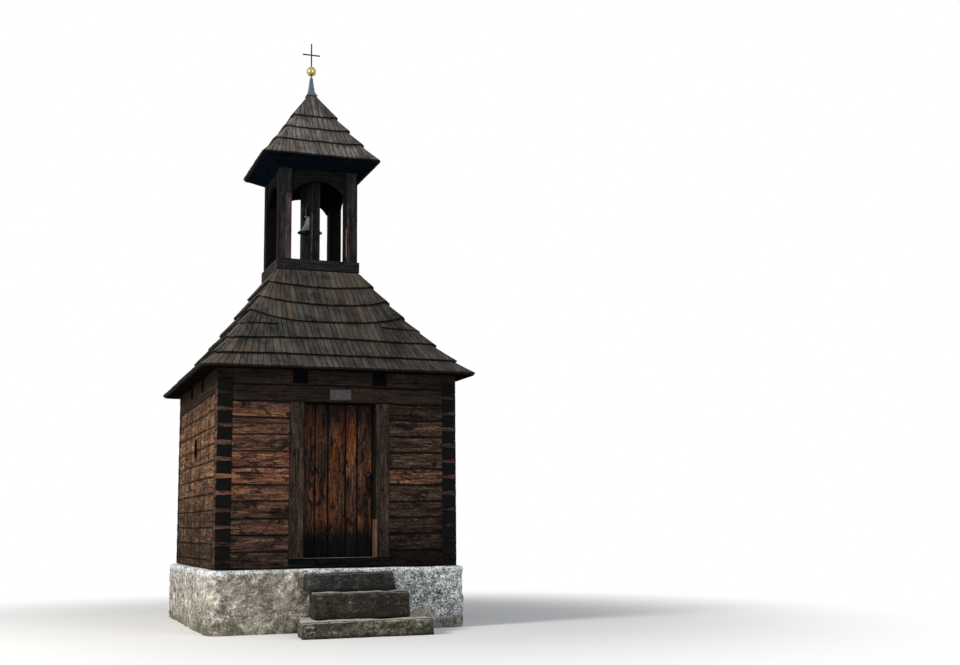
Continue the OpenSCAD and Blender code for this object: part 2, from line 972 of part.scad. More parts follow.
module door_handle() {
    face = -in_d + leaf_proud - ledge_t - door_board_t - fit;
    neck_r = 10;
    bead = 5;
    knob_t = 13;
    knob_y = knob_reach - knob_t;
    rosette = [
        [0, 0], [rosette_r, 0], [rosette_r, rosette_t],
        [rosette_r - bead, rosette_t + bead / 2], [rosette_r - 2 * bead, rosette_t]
    ];
    knob = [for (a = [-60:15:75]) [knob_r * cos(a), knob_y + knob_t * sin(a)]];
    neck = [[neck_r, rosette_t], [neck_r, knob[0][1]]];
    translate([leaf_x - handle_inset, face, z_wall + handle_z])
        rotate([90, 0, 0])
            color(iron)
                rotate_extrude($fn = 48)
                    polygon(concat(rosette, neck, knob, [[0, knob_reach]]));
}

module plaque() {
    color([0.30, 0.20, 0.22])
        translate([-plaque_w / 2, -half_d - fit - plaque_t, z_lintel + (log_h - plaque_h) / 2])
            cube([plaque_w, plaque_t, plaque_h]);
}

plinth();
step_bottom();
step_middle();
step_top();
floor_boards();
threshold();
door_post_left();
door_post_right();
front_wall_left();
front_wall_right();
lintel_log();
left_wall();
right_wall();
back_wall();
end_plates();
side_plates();
tie_beams();
cross_beams();
main_soffit();
main_roof();
stage_sill();
stage_deck();
post_front_left();
post_front_right();
post_back_left();
post_back_right();
arch_front();
arch_back();
arch_left();
arch_right();
bell_posts();
headstock();
bell_irons();
bell();
head_frame();
upper_soffit();
upper_roof();
finial_cap();
finial_ball();
cross();
door_leaf();
door_straps();
door_pintles();
door_handle();
plaque();
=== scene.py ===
"""Looks of a small log belfry: a log room on a rendered plinth, shingled roofs and an open bell stage."""

import logging
import math
from collections.abc import Callable, Iterable, Sequence
from dataclasses import dataclass
from enum import Enum

import bpy
import numpy as np
from mathutils import Matrix, Vector


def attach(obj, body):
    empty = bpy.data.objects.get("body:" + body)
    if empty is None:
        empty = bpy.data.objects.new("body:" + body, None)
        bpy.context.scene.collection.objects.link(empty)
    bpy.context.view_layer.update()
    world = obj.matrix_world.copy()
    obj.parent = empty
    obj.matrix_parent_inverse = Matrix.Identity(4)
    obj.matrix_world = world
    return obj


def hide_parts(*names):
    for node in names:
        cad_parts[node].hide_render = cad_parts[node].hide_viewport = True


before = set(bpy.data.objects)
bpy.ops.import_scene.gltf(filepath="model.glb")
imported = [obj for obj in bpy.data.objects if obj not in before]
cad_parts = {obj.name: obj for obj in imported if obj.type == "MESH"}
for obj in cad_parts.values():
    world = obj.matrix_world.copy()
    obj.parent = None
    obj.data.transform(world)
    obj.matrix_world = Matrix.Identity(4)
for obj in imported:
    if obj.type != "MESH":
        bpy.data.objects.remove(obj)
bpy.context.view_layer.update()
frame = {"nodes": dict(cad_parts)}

log = logging.getLogger("belfry")

Triple = tuple[float, float, float]
Outline = tuple[tuple[float, float], ...]
Socket = bpy.types.NodeSocket
Material = bpy.types.Material
Section = Callable[[np.ndarray, np.ndarray], np.ndarray]

RIGHT, BACK, UP = (1, 0, 0), (0, 1, 0), (0, 0, 1)

# Sizes of the solids that several classes share, in metres: the walls' outer faces, their logs and joints,
# the ends of the short logs beside the door, and the seats of the tie beams in the plates
PLINTH_TOP, WALL_TOP = 0.75, 3.15
COURSE = 0.2
WALL_X, WALL_Y = 1.5, 1.8
LOG_T = 0.18
OPEN_JOINT = 0.0004
SHOULDER_X = WALL_X - LOG_T - OPEN_JOINT
FRAME_X = 0.6303
TIE_AT, TIE_HALF, TIE_FOOT = 0.5, 0.0903, 2.9847
TIE_CUTS = tuple(s * (TIE_AT + t * TIE_HALF) for s in (-1, 1) for t in (-1, 1))


def srgb(code: str) -> Triple:
    """Linear colour of a six-digit screen colour."""
    parts = (int(code[i:i + 2], 16) / 255 for i in (0, 2, 4))
    return tuple(p / 12.92 if p <= 0.04045 else ((p + 0.055) / 1.055) ** 2.4 for p in parts)


def rise(courses: float) -> float:
    """Height of so many courses over the plinth."""
    return PLINTH_TOP + courses * COURSE


class Grit:
    """Smooth seeded noise over space, from -1 to 1."""

    SIZE = 32

    def __init__(self, seed: int) -> None:
        """Fills the lattice from the seed."""
        self.lattice = np.random.default_rng(seed).uniform(-1, 1, (self.SIZE,) * 3)

    def at(self, points: np.ndarray, scale: float | Sequence[float]) -> np.ndarray:
        """Noise at some points.

        Args:
            points: places in metres, the last axis being x, y, z.
            scale: lattice cells a metre, one number or one for each axis.

        Returns:
            One value for each point.
        """
        p = np.asarray(points, float) * np.asarray(scale, float)
        base = np.floor(p).astype(int)
        f = p - base
        f = f * f * (3 - 2 * f)
        total = np.zeros(p.shape[:-1])
        for corner in np.ndindex(2, 2, 2):
            weight = np.prod(np.where(np.array(corner) == 1, f, 1 - f), axis=-1)
            i = (base + np.array(corner)) % self.SIZE
            total += weight * self.lattice[i[..., 0], i[..., 1], i[..., 2]]
        return total


GRIT = Grit(5)


class Value:
    """A shader socket that takes part in sums; each operator adds its Math node."""

    def __init__(self, tree: "Tree", socket: Socket) -> None:
        """Wraps a number socket of a tree."""
        self.tree = tree
        self.socket = socket

    def _math(self, operation: str, *terms: "Value | float") -> "Value":
        """Adds a Math node of these terms."""
        made = self.tree.node("ShaderNodeMath", {"operation": operation}, dict(enumerate(terms)))
        return Value(self.tree, made.outputs[0])

    def __add__(self, other: "Value | float") -> "Value":
        """Sum."""
        return self._math("ADD", self, other)

    __radd__ = __add__

    def __sub__(self, other: "Value | float") -> "Value":
        """Difference."""
        return self._math("SUBTRACT", self, other)

    def __rsub__(self, other: float) -> "Value":
        """Difference from a number."""
        return self._math("SUBTRACT", other, self)

    def __mul__(self, other: "Value | float") -> "Value":
        """Product."""
        return self._math("MULTIPLY", self, other)

    __rmul__ = __mul__

    def __pow__(self, other: "Value | float") -> "Value":
        """Power."""
        return self._math("POWER", self, other)

    def __abs__(self) -> "Value":
        """Size without its sign."""
        return self._math("ABSOLUTE", self)

    def least(self, other: "Value | float") -> "Value":
        """The smaller of two values."""
        return self._math("MINIMUM", self, other)

    def most(self, other: "Value | float") -> "Value":
        """The larger of two values."""
        return self._math("MAXIMUM", self, other)

    def wave(self) -> "Value":
        """Sine of the value."""
        return self._math("SINE", self)

    def between(self, low: float, high: float) -> "Value":
        """Smooth step of the value.

        Args:
            low: where it is 0.
            high: where it is 1; may be under low.

        Returns:
            The step, from 0 to 1.
        """
        sockets = {"Value": self, "From Min": low, "From Max": high}
        made = self.tree.node("ShaderNodeMapRange", {"interpolation_type": "SMOOTHSTEP"}, sockets)
        return Value(self.tree, made.outputs["Result"])


class Grain(Enum):
    """Where the fibres run: as painted on the mesh, or along one axis."""

    PAINTED = "painted"
    X = "x"
    Y = "y"
    Z = "z"


class Tree:
    """Node tree of one material or world, built call by call."""

    def __init__(self, name: str = "", owner: bpy.types.ID | None = None) -> None:
        """Starts an empty tree.

        Args:
            name: name of the new material.
            owner: what gets the tree in place of a new material.
        """
        self.owner = owner or bpy.data.materials.new(name)
        self.owner.use_nodes = True
        self.nodes = self.owner.node_tree.nodes
        self.links = self.owner.node_tree.links
        self.nodes.clear()

    def node(self, kind: str, settings: dict[str, object] | None = None,
             sockets: dict[str | int, object] | None = None) -> bpy.types.Node:
        """Adds a node.

        Args:
            kind: Blender's type name of the node.
            settings: its properties, set first; "stops" fills a colour ramp.
            sockets: a value, a colour code or a link for each input, by name or place.

        Returns:
            The new node.
        """
        made = self.nodes.new(kind)
        for key, value in (settings or {}).items():
            if key == "stops":
                self._stops(made.color_ramp.elements, value)
            else:
                setattr(made, key, value)
        for key, value in (sockets or {}).items():
            self._feed(made.inputs[key], value)
        return made

    def _feed(self, target: Socket, value: object) -> None:
        """Fills an input.

        Args:
            target: the input.
            value: a number, a vector, a colour code, or what is linked to it.
        """
        if isinstance(value, Value):
            value = value.socket
        elif isinstance(value, str):
            value = srgb(value)
        if isinstance(value, Socket):
            self.links.new(value, target)
        elif target.type == "RGBA":
            target.default_value = (*value, 1.0)
        else:
            target.default_value = value

    @staticmethod
    def _stops(elements: bpy.types.bpy_struct, stops: Sequence[tuple[float, str]]) -> None:
        """Fills a colour ramp.

        Args:
            elements: the ramp's stops, two at first.
            stops: place and colour code of each.
        """
        while len(elements) < len(stops):
            elements.new(0.5)
        for element, (place, code) in zip(elements, stops):
            element.position = place
            element.color = (*srgb(code), 1.0)

    def attribute(self, name: str) -> bpy.types.Node:
        """Attribute node of a painted value."""
        return self.node("ShaderNodeAttribute", {"attribute_name": name})

    def painted(self, name: str) -> Value:
        """Painted number of a mesh."""
        return Value(self, self.attribute(name).outputs["Fac"])

    def place(self) -> Socket:
        """Place on the piece, in metres."""
        return self.node("ShaderNodeTexCoord").outputs["Object"]

    def along(self, axis: str) -> Value:
        """Place on the piece along X, Y or Z, at rest."""
        return Value(self, self.node("ShaderNodeSeparateXYZ", None, {0: self.place()}).outputs[axis])

    def seen(self) -> Value:
        """Tells rays that see the surroundings from those that light something.

        Returns:
            1 for what is seen directly, in gloss or through glass.
        """
        rays = self.node("ShaderNodeLightPath").outputs
        shown = [Value(self, rays[f"Is {kind} Ray"]) for kind in ("Camera", "Glossy", "Transmission")]
        return shown[0].most(shown[1]).most(shown[2])

    def grain(self, direction: Grain) -> Socket:
        """Place with the fibres along its first axis.

        Args:
            direction: the fibres' direction.

        Returns:
            The painted grain, or the place on the piece with its axes changed about.
        """
        if direction is Grain.PAINTED:
            return self.attribute("grain").outputs["Vector"]
        parts = self.node("ShaderNodeSeparateXYZ", None, {0: self.place()}).outputs
        order = {Grain.X: "XYZ", Grain.Y: "YXZ", Grain.Z: "ZXY"}[direction]
        turned = dict(enumerate(parts[axis] for axis in order))
        return self.node("ShaderNodeCombineXYZ", None, turned).outputs[0]

    def _scaled(self, vector: Socket, scale: float | Triple) -> dict[str | int, object]:
        """Sockets of a texture.

        Args:
            vector: where it is read.
            scale: its scale, one number or one for each axis.

        Returns:
            The vector, stretched where the scale has three numbers, and the scale.
        """
        if not isinstance(scale, tuple):
            return {"Vector": vector, "Scale": scale}
        made = self.node("ShaderNodeVectorMath", {"operation": "MULTIPLY"}, {0: vector, 1: scale})
        return {"Vector": made.outputs[0], "Scale": 1.0}

    def noise(self, vector: Socket, scale: float | Triple, detail: float = 2.0,
              rough: float = 0.5, bend: float = 0.0) -> Value:
        """Noise over a vector, about 0.5 on average."""
        sockets = self._scaled(vector, scale) | {"Detail": detail, "Roughness": rough, "Distortion": bend}
        return Value(self, self.node("ShaderNodeTexNoise", None, sockets).outputs["Fac"])

    def cells(self, vector: Socket, scale: float | Triple) -> Value:
        """Distance to the middle of the nearest cell."""
        made = self.node("ShaderNodeTexVoronoi", None, self._scaled(vector, scale))
        return Value(self, made.outputs["Distance"])

    def ramp(self, fac: Value, *stops: tuple[float, str]) -> Socket:
        """Colour by a value."""
        return self.node("ShaderNodeValToRGB", {"stops": stops}, {"Fac": fac}).outputs["Color"]

    def mix(self, fac: Value | float, a: object, b: object) -> Socket:
        """Mix of two colours."""
        return self.node("ShaderNodeMix", {"data_type": "RGBA"}, {0: fac, 6: a, 7: b}).outputs[2]

    def lit(self, colour: Socket, by: Value) -> Socket:
        """Colour made lighter or darker by a value."""
        grey = self.node("ShaderNodeCombineXYZ", None, {0: by, 1: by, 2: by}).outputs[0]
        return self.node("ShaderNodeVectorMath", {"operation": "MULTIPLY"}, {0: colour, 1: grey}).outputs[0]

    def bump(self, height: Value, depth: float, strength: float = 1.0) -> Socket:
        """Normal from a relief of this depth in metres."""
        sockets = {"Height": height, "Distance": depth, "Strength": strength}
        return self.node("ShaderNodeBump", None, sockets).outputs["Normal"]

    def surface(self, colour: object, roughness: object, normal: Socket,
                **more: object) -> Material:
        """Ends the tree in a Principled shader.

        Args:
            colour: base colour, a value or a link.
            roughness: roughness, a value or a link.
            normal: relief.
            more: other sockets by name, with _ for a space.

        Returns:
            The finished material.
        """
        sockets = {"Base Color": colour, "Roughness": roughness, "Normal": normal}
        sockets |= {key.replace("_", " "): value for key, value in more.items()}
        shader = self.node("ShaderNodeBsdfPrincipled", None, sockets)
        self.node("ShaderNodeOutputMaterial", None, {"Surface": shader.outputs["BSDF"]})
        return self.owner


@dataclass(frozen=True)
class WoodFinish:
    """Weathered timber: fibres, streaks, stains, cracks and knots along the grain.

    Dark to light is its cool wood; the warm colours take warm_share of it at most. Where rain is set, streaks
    run down the face, partly rain runs and partly painted shade. The soot colour also serves as painted
    shade, deepening up towards the head, and as soot, deepening down towards the foot, between the heights
    the finish gives.
    """

    name: str
    dark: str
    middle: str
    light: str
    warm: str
    warm_light: str
    warm_share: float = 0.5
    stain: float = 0.6
    knots: float = 0.8
    relief: float = 0.0025
    roughness: float = 0.84
    gloss: float = 0.08
    rain_and_shade: float = 0.0
    ochre: str = ""
    ochre_light: str = ""
    shadow_from: float | None = None
    shadow_to: float = 0.0
    soot_from: float | None = None
    soot_to: float = 0.0
    soot_and_shadow: str = "0e0d0e"
    split: str = "080605"
    soil_and_shade: str = "0a0807"

    def _cracks(self, t: Tree, g: Socket, patch: Value, band: Value) -> Value:
        """Wide splits here and there, and short fine ones.

        Args:
            t: the finish's tree.
            g: place along the fibres.
            patch: where wide splits open.
            band: where fine ones do.

        Returns:
            1 in a crack.
        """
        split = t.noise(g, (1, 15, 15), 2, 0.5, 0.3)
        line = t.noise(g, (1.3, 62, 62), 2, 0.5, 0.2)
        wide = abs(split - 0.5).between(0.013, 0.003) * patch.between(0.36, 0.5)
        return wide.most(abs(line - 0.5).between(0.02, 0.0) * band.between(0.46, 0.56) * 0.8)

    def _hues(self, t: Tree, g: Socket, depth: Value, warmth: Value) -> Socket:
        """Cool and warm wood, with ochre in the warm where there is any.

        Args:
            t: the finish's tree.
            g: place along the fibres.
            depth: from dark to light.
            warmth: share of warm wood.

        Returns:
            The colour.
        """
        cool = t.ramp(depth, (0.38, self.dark), (0.5, self.middle), (0.64, self.light))
        warm = t.ramp(depth, (0.38, self.dark), (0.5, self.warm), (0.64, self.warm_light))
        if self.ochre:
            hue = t.noise(g, (3, 12, 12), 4, 0.62, 0.5)
            yellow = t.ramp(depth, (0.38, self.dark), (0.5, self.ochre), (0.62, self.ochre_light))
            warm = t.mix(hue.between(0.5, 0.6), warm, yellow)
        return t.mix(warmth, cool, warm)

    def _sooted_and_shaded(self, t: Tree, colour: Socket, blotch: Value, streak: Value) -> Socket:
        """Paints shade at the head and soot at the foot of a standing piece, where the finish says so.

        Args:
            t: the finish's tree.
            colour: colour so far.
            blotch: ragged edge of the dark.
            streak: finer edge along the fibres.

        Returns:
            The colour.
        """
        if self.shadow_from is not None:
            # painted shade under the head of the piece
            under = t.along("Z") + (blotch - 0.5) * 0.5
            colour = t.mix(under.between(self.shadow_from, self.shadow_to) * 0.7, colour, self.soot_and_shadow)
        if self.soot_from is not None:
            # soot towards the foot
            height = t.along("Z") + (blotch - 0.5) * 0.8 + (streak - 0.5) * 0.5
            colour = t.mix(height.between(self.soot_from, self.soot_to) * 0.96, colour, self.soot_and_shadow)
        return colour

    def material(self, direction: Grain = Grain.PAINTED) -> Material:
        """Builds the finish for fibres in a direction.

        Args:
            direction: the fibres' direction.

        Returns:
            The material.
        """
        t = Tree(f"{self.name}_{direction.value}")
        g = t.grain(direction)
        painted = direction is Grain.PAINTED
        fibre = t.noise(g, (9, 240, 240), 3, 0.65)
        streak = t.noise(g, (3, 38, 38), 6, 0.72, 0.6)
        band = t.noise(g, (0.8, 9, 9), 4, 0.6, 0.4)
        patch = t.noise(g, (1.5, 4, 4), 4, 0.6, 0.5)
        speck = t.noise(g, (26, 60, 60), 4, 0.75)
        blotch = t.noise(g, (3.6, 9, 9), 7, 0.74, 1.0)
        crack = self._cracks(t, g, patch, band)
        knot = t.cells(g, (1.7, 6, 6))
        knot_core = knot.between(0.12, 0.06) * self.knots
        knot_ring = abs(knot - 0.17).between(0.03, 0.0) * self.knots
        tone = t.painted("tone") if painted else 0.5
        warmth = (patch * 0.8 + band * 0.3 + tone * 0.3 - 0.17).between(0.38, 0.62) * self.warm_share
        colour = self._hues(t, g, streak * 0.38 + fibre * 0.1 + band * 0.24 + speck * 0.28, warmth)
        colour = t.mix(blotch.between(0.49, 0.6) * self.stain, colour, self.soot_and_shadow)
        colour = t.mix((knot_ring * 0.6).most(knot_core * 0.85), colour, self.soot_and_shadow)
        colour = t.mix(crack * 0.92, colour, self.split)
        shade = (fibre * 0.4 + 0.8) * (patch * 1.1 + 0.45)
        if painted:
            shade = shade * (tone + 0.45)
            # dirt and painted shade from the mesh: dark joints, arrises, hidden faces and check bottoms
            colour = t.mix(t.painted("soil_and_shade") * 0.9, colour, self.soil_and_shade)
        if self.rain_and_shade:
            # light and dark streaks down the face: partly rain runs, partly painted shade
            runs_and_shade = t.noise(t.place(), (4.5, 4.5, 0.5), 5, 0.66, 0.8)
            shade = shade * (1.0 - (runs_and_shade - 0.5) * self.rain_and_shade).most(0.3)
        colour = t.lit(self._sooted_and_shaded(t, colour, blotch, streak), shade)
        height = streak * 0.45 + fibre * 0.2 + band * 0.3 + speck * 0.2 - crack * 1.1 - knot_core * 0.4
        roughness = (fibre * 0.2 + self.roughness - 0.1).least(1.0)
        return t.surface(colour, roughness, t.bump(height, self.relief, 0.9), Specular_IOR_Level=self.gloss)


@dataclass(frozen=True)
class EndGrain:
    """Sawn or hewn end of a log: rings about the heart, radial checks, near black with age."""

    name: str
    ring: str
    gap: str
    soil_and_shade: str = "0a0908"
    heart: tuple[float, float] = (0.085, 0.09)
    rings: float = 900.0

    def material(self) -> Material:
        """Builds the finish.

        Returns:
            The material.
        """
        t = Tree(self.name)
        g = t.grain(Grain.PAINTED)
        wobble = t.noise(g, (0, 9, 9), 3)
        share = t.node("ShaderNodeVectorMath", {"operation": "FRACTION"}, {0: g}).outputs[0]
        parts = t.node("ShaderNodeSeparateXYZ", None, {0: share}).outputs
        across, up = Value(t, parts["Y"]) - self.heart[0], Value(t, parts["Z"]) - self.heart[1]
        far = (across * across + up * up) ** 0.5
        rings = ((far + wobble * 0.02) * self.rings).wave() * 0.5 + 0.5
        patch = t.noise(g, (1, 14, 14), 4)
        colour = t.mix(rings * 0.5 + patch * 0.5, self.gap, self.ring)
        colour = t.mix(t.painted("soil_and_shade") * 0.6, colour, self.soil_and_shade)
        return t.surface(colour, 0.92, t.bump(rings * 0.3 + patch, 0.003), Specular_IOR_Level=0.1)


@dataclass(frozen=True)
class ShingleFinish:
    """Riven shingles gone grey: thin fibres along the slope, each board its own shade."""

    name: str
    dark: str
    middle: str
    light: str
    blush: str
    soil_and_shade: str = "0c0a09"

    def material(self) -> Material:
        """Builds the finish.

        Returns:
            The material.
        """
        t = Tree(self.name)
        g = t.grain(Grain.PAINTED)
        fibre = t.noise(g, (5, 260, 60), 3, 0.6)
        streak = t.noise(g, (1.6, 44, 20), 4, 0.6)
        run = t.noise(t.place(), (3.2, 3.2, 1.4), 5, 0.62, 0.4)
        patch = t.noise(t.place(), 1.7, 4, 0.55, 0.8)
        tone = t.painted("tone")
        depth = streak * 0.45 + fibre * 0.25 + run * 0.3
        colour = t.ramp(depth, (0.33, self.dark), (0.5, self.middle), (0.7, self.light))
        warmth = (patch * 1.1 + run * 0.3 + tone * 0.25).between(0.74, 1.0)
        colour = t.mix(warmth * 0.65, colour, self.blush)
        colour = t.mix(run.between(0.47, 0.32) * 0.35, colour, self.dark)
        # dirt and painted shade from the mesh, as along the board edges and under the butts
        colour = t.mix(t.painted("soil_and_shade") * 0.85, colour, self.soil_and_shade)
        colour = t.lit(colour, (tone * 0.8 + 0.6) * (fibre * 0.3 + 0.85) * (run * 0.8 + 0.6))
        normal = t.bump(streak * 0.6 + fibre * 0.4, 0.0012)
        return t.surface(colour, fibre * 0.2 + 0.75, normal, Specular_IOR_Level=0.08)


@dataclass(frozen=True)
class RenderFinish:
    """Lime render over rubble: pebbled off-white with dark pits, bare earthy patches low down."""

    name: str
    white: str
    grey: str
    earth: str
    sand: str
    damp: str
    pit: str
    foot: str

    def material(self) -> Material:
        """Builds the finish.

        Returns:
            The material.
        """
        t = Tree(self.name)
        p = t.place()
        cloud = t.noise(p, 2.2, 4, 0.6)
        grit = t.noise(p, 44.0, 4, 0.75, 0.5)
        worn = t.noise(p, 3.2, 7, 0.68, 0.8)
        lumps = t.noise(p, 9.0, 5, 0.65, 0.6)
        height, side = t.along("Z"), t.along("X")
        crest = (height + (worn - 0.5) * 0.1).between(0.65, 0.73)
        depth = grit * 0.68 + lumps * 0.22 + cloud * 0.1 + crest * 0.05
        lime = t.ramp(depth, (0.41, self.damp), (0.495, self.grey), (0.57, self.white))
        depth = grit * 0.38 + worn * 0.34 + lumps * 0.28
        bare = t.ramp(depth, (0.36, self.pit), (0.47, self.earth), (0.58, self.sand))
        leftness = side.between(0.95, -0.4) * side.between(-1.9, -1.3)
        earthy = leftness * 0.4 + worn * 1.3 + height.between(0.65, 0.0) * 0.1 - crest * 0.3
        colour = t.mix(earthy.between(0.72, 0.9) * 0.9, lime, bare)
        colour = t.mix((lumps * 0.5 + grit * 0.5).between(0.54, 0.6) * 0.55, colour, self.white)
        foot = (height + (worn - 0.5) * 0.7).between(0.2, 0.02)
        colour = t.mix(foot * 0.6, colour, self.foot)
        seam = abs(worn - 0.5).between(0.016, 0.003) * grit.between(0.64, 0.48)
        colour = t.mix((seam * 0.7).most(t.painted("soil_and_shade") * 0.85), colour, self.pit)
        # partly painted shade of the lumps, partly uneven colour in broad clouds
        colour = t.lit(colour, (lumps * 0.8 + 0.6) * (cloud * 0.6 + 0.75))
        return t.surface(colour, 0.93, t.bump(grit * 0.3 + lumps, 0.07, 0.9), Specular_IOR_Level=0.2)


@dataclass(frozen=True)
class StoneFinish:
    """Rough bedded stone with moss, and pale mortar and wear along the treads."""

    name: str
    dark: str
    middle: str
    light: str
    moss: str
    pale: str
    smeared: float
    soil_and_shade: str = "11110e"

    def material(self) -> Material:
        """Builds the finish.

        Returns:
            The material.
        """
        t = Tree(self.name)
        p = t.place()
        cloud = t.noise(p, 4.0, 6, 0.68, 0.5)
        vein = t.noise(p, (9, 9, 24), 6, 0.72, 0.5)
        speck = t.noise(p, 36.0, 5, 0.75)
        grown = t.noise(p, 6.5, 5, 0.66, 0.6)
        tread = t.painted("tread")
        depth = cloud * 0.3 + vein * 0.35 + speck * 0.35
        colour = t.ramp(depth, (0.41, self.dark), (0.5, self.middle), (0.59, self.light))
        colour = t.mix(grown.between(0.47, 0.62) * 0.5, colour, self.moss)
        fleck = (speck * 0.6 + vein * 0.4).between(0.56, 0.63) * 0.5
        edge = (tread * 0.6 + vein * 0.4 + speck * 0.3).between(0.78, 1.02)
        mortar = (tread - 1.0) * speck.between(0.4, 0.5)
        colour = t.mix((fleck.most(edge) * self.smeared).most(mortar), colour, self.pale)
        colour = t.mix(speck.between(0.42, 0.34) * 0.8, colour, self.dark)
        # painted shadow from the mesh, along each step's foot
        colour = t.mix(t.painted("soil_and_shade") * 0.85, colour, self.soil_and_shade)
        colour = t.lit(colour, speck * 0.5 + 0.75)
        relief = cloud * 0.35 + vein * 0.3 + speck * 0.35
        return t.surface(colour, 0.9, t.bump(relief, 0.018, 0.9), Specular_IOR_Level=0.25)


@dataclass(frozen=True)
class MetalFinish:
    """Weathered metal: base colour, tarnish in patches, fine pitting, and painted shade where the mesh paints
    it.
    """

    name: str
    base: str
    tarnish: str
    metallic: float
    roughness: float
    patches: float = 9.0
    share: float = 0.5
    relief: float = 0.0006
    soil_and_shade: str = "030303"

    def material(self) -> Material:
        """Builds the finish.

        Returns:
            The material.
        """
        t = Tree(self.name)
        p = t.place()
        patch = t.noise(p, self.patches, 5, 0.65, 0.4)
        pit = t.noise(p, 140.0, 3, 0.6)
        soil_and_shade = t.painted("soil_and_shade")
        cover = (patch * 0.8 + pit * 0.2).between(0.42, 0.62) * self.share
        colour = t.lit(t.mix(cover, self.base, self.tarnish), pit * 0.3 + 0.85)
        # painted shade where the mesh paints it, as inside the bell
        colour = t.mix(soil_and_shade, colour, self.soil_and_shade)
        metallic = self.metallic * (1 - cover.most(soil_and_shade) * 0.8)
        normal = t.bump(pit * 0.5 + patch * 0.5, self.relief)
        return t.surface(colour, cover * 0.25 + self.roughness, normal, Metallic=metallic)


LOG_WOOD = WoodFinish(
    "log_wood", "120a06", "4b3a30", "a48c7b", "63382a", "a8715a", 0.75, 0.88,
    ochre="704a2b", ochre_light="b88a5a")
# painted sunlight: the left wall's own copy of the log wood, for its sunlit face
SUNNY_WOOD = WoodFinish(
    "sunny_log_wood", "130a05", "4f3b2d", "9d8268", "5b3d2b", "ab8059", 0.5, 0.65,
    gloss=0.02, rain_and_shade=4.5, ochre="694a31", ochre_light="a27d55")
# painted shade: darker wood for the side plates under the eaves
SIDE_EAVE_SHADED_WOOD = WoodFinish("side_eave_shaded_wood", "0c0906", "271e17", "4b3c2e", "32241a", "503a28", 0.4,
                           0.6, gloss=0.02)
# painted shade: a darker copy of the log wood for the lintel and end plates under the eaves
EAVE_SHADED_WOOD = WoodFinish("eave_shaded_log_wood", "0b0908", "28211d", "4c4038", "35241c", "52392b", 0.4, 0.6)
THRESHOLD_WOOD = WoodFinish("threshold_wood", "06080a", "141819", "262b2d", "1b1613", "2c2520",
                            0.3, 0.4, gloss=0.0)
FRAME_WOOD = WoodFinish("frame_wood", "0e0b09", "392f28", "76675a", "432f26", "6f5546", 0.4, 0.6, 0.4)
# The door boards get painted shade at their top under the lintel, and soot low down.
DOOR_WOOD = WoodFinish(
    "door_wood", "0e0907", "3e3028", "877362", "663217", "a85d2b", 0.7, 0.9, 0.7,
    relief=0.0018, roughness=0.8, gloss=0.04, ochre="6e411c", ochre_light="b3722b",
    shadow_from=2.3, shadow_to=2.72, soot_from=1.34, soot_to=1.1, soot_and_shadow="0a0e11")
STRIP_WOOD = WoodFinish("strip_wood", "4a3628", "745a4a", "a08372", "6b4b3c", "947060", 0.4, 0.3, 0.2)
GREY_STRIP = WoodFinish("grey_strip_wood", "5a5652", "8e8a85", "bdb8b0", "7a6c60", "a3917f", 0.2, 0.2, 0.1)
CASING_WOOD = WoodFinish("casing_wood", "151314", "3a3133", "62555a", "402f31", "644a49", 0.3, 0.5, 0.3)
STAGE_WOOD = WoodFinish("stage_wood", "090a0b", "1f2122", "48494b", "2b2220", "4c3c35", 0.3, 0.5,
                        0.3, gloss=0.04)
ARCH_WOOD = WoodFinish("arch_wood", "060708", "131415", "222222", "171412", "261f1b", 0.3, 0.4,
                       0.3, gloss=0.0)
BEAM_END = WoodFinish("beam_end_wood", "030405", "0b0c0e", "17191b", "0d0c0b", "1a1714", 0.3, 0.4,
                      0.2, gloss=0.0)
# painted shade: near black for the upper soffit, the stage deck and the headstock under the upper roof
SHADED_DARK_WOOD = WoodFinish("dark_wood", "03070b", "08111a", "14202b", "0c0f13", "181c20", 0.3, 0.3,
                       0.2, gloss=0.0)
# painted shade: the main soffit is made near black, as under the eave
SHADED_SOFFIT_WOOD = WoodFinish("shaded_soffit_wood", "070603", "120f08", "241e12", "17120a", "2a2012", 0.4, 0.4,
                       0.3, gloss=0.0)
FLOOR_WOOD = WoodFinish("floor_wood", "241b14", "4f4034", "786554", "5a4230", "7d5f45", 0.4, 0.3)
LOG_END = EndGrain("log_end", "141415", "060707")
TAIL_END = EndGrain("tail_end", "624a38", "2a1f17")
MAIN_SHINGLE = ShingleFinish("main_shingle", "151413", "3d3b37", "6c6862", "54463b")
UPPER_SHINGLE = ShingleFinish("upper_shingle", "252322", "5a5652", "a39e99", "695a50")
LIME_RENDER = RenderFinish("lime_render", "f7faf9", "9ca2a2", "8a8172", "cbc1af", "3f4344",
                           "36322b", "5a5746")
TOP_STONE = StoneFinish("top_step_stone", "0e100f", "292a28", "4e4f4b", "22231e", "8f9089", 0.4)
MIDDLE_STONE = StoneFinish("middle_step_stone", "0b0a08", "2c2822", "59544b", "212018", "b0ada3", 0.35)
LOW_STONE = StoneFinish("low_step_stone", "16150f", "4a473b", "918d7f", "383725", "bdbaad", 0.9)
BLACK_IRON = MetalFinish("black_iron", "2a2a2d", "2b1f1a", 0.7, 0.5)
KNOB_IRON = MetalFinish("knob_iron", "23272b", "0c0d0f", 1.0, 0.22, 30.0)
BELL_METAL = MetalFinish("bell_metal", "5d625c", "2c302c", 0.2, 0.55)
ZINC_SHEET = MetalFinish("zinc_sheet", "53626d", "2f3b45", 0.35, 0.45, 14.0)
GILDING = MetalFinish("gilding", "c4b272", "4c4220", 1.0, 0.24, 20.0, 0.5, 0.0003)
PLATE = MetalFinish("bare_plate", "41363a", "231d20", 0.3, 0.55, 30.0, 0.6)


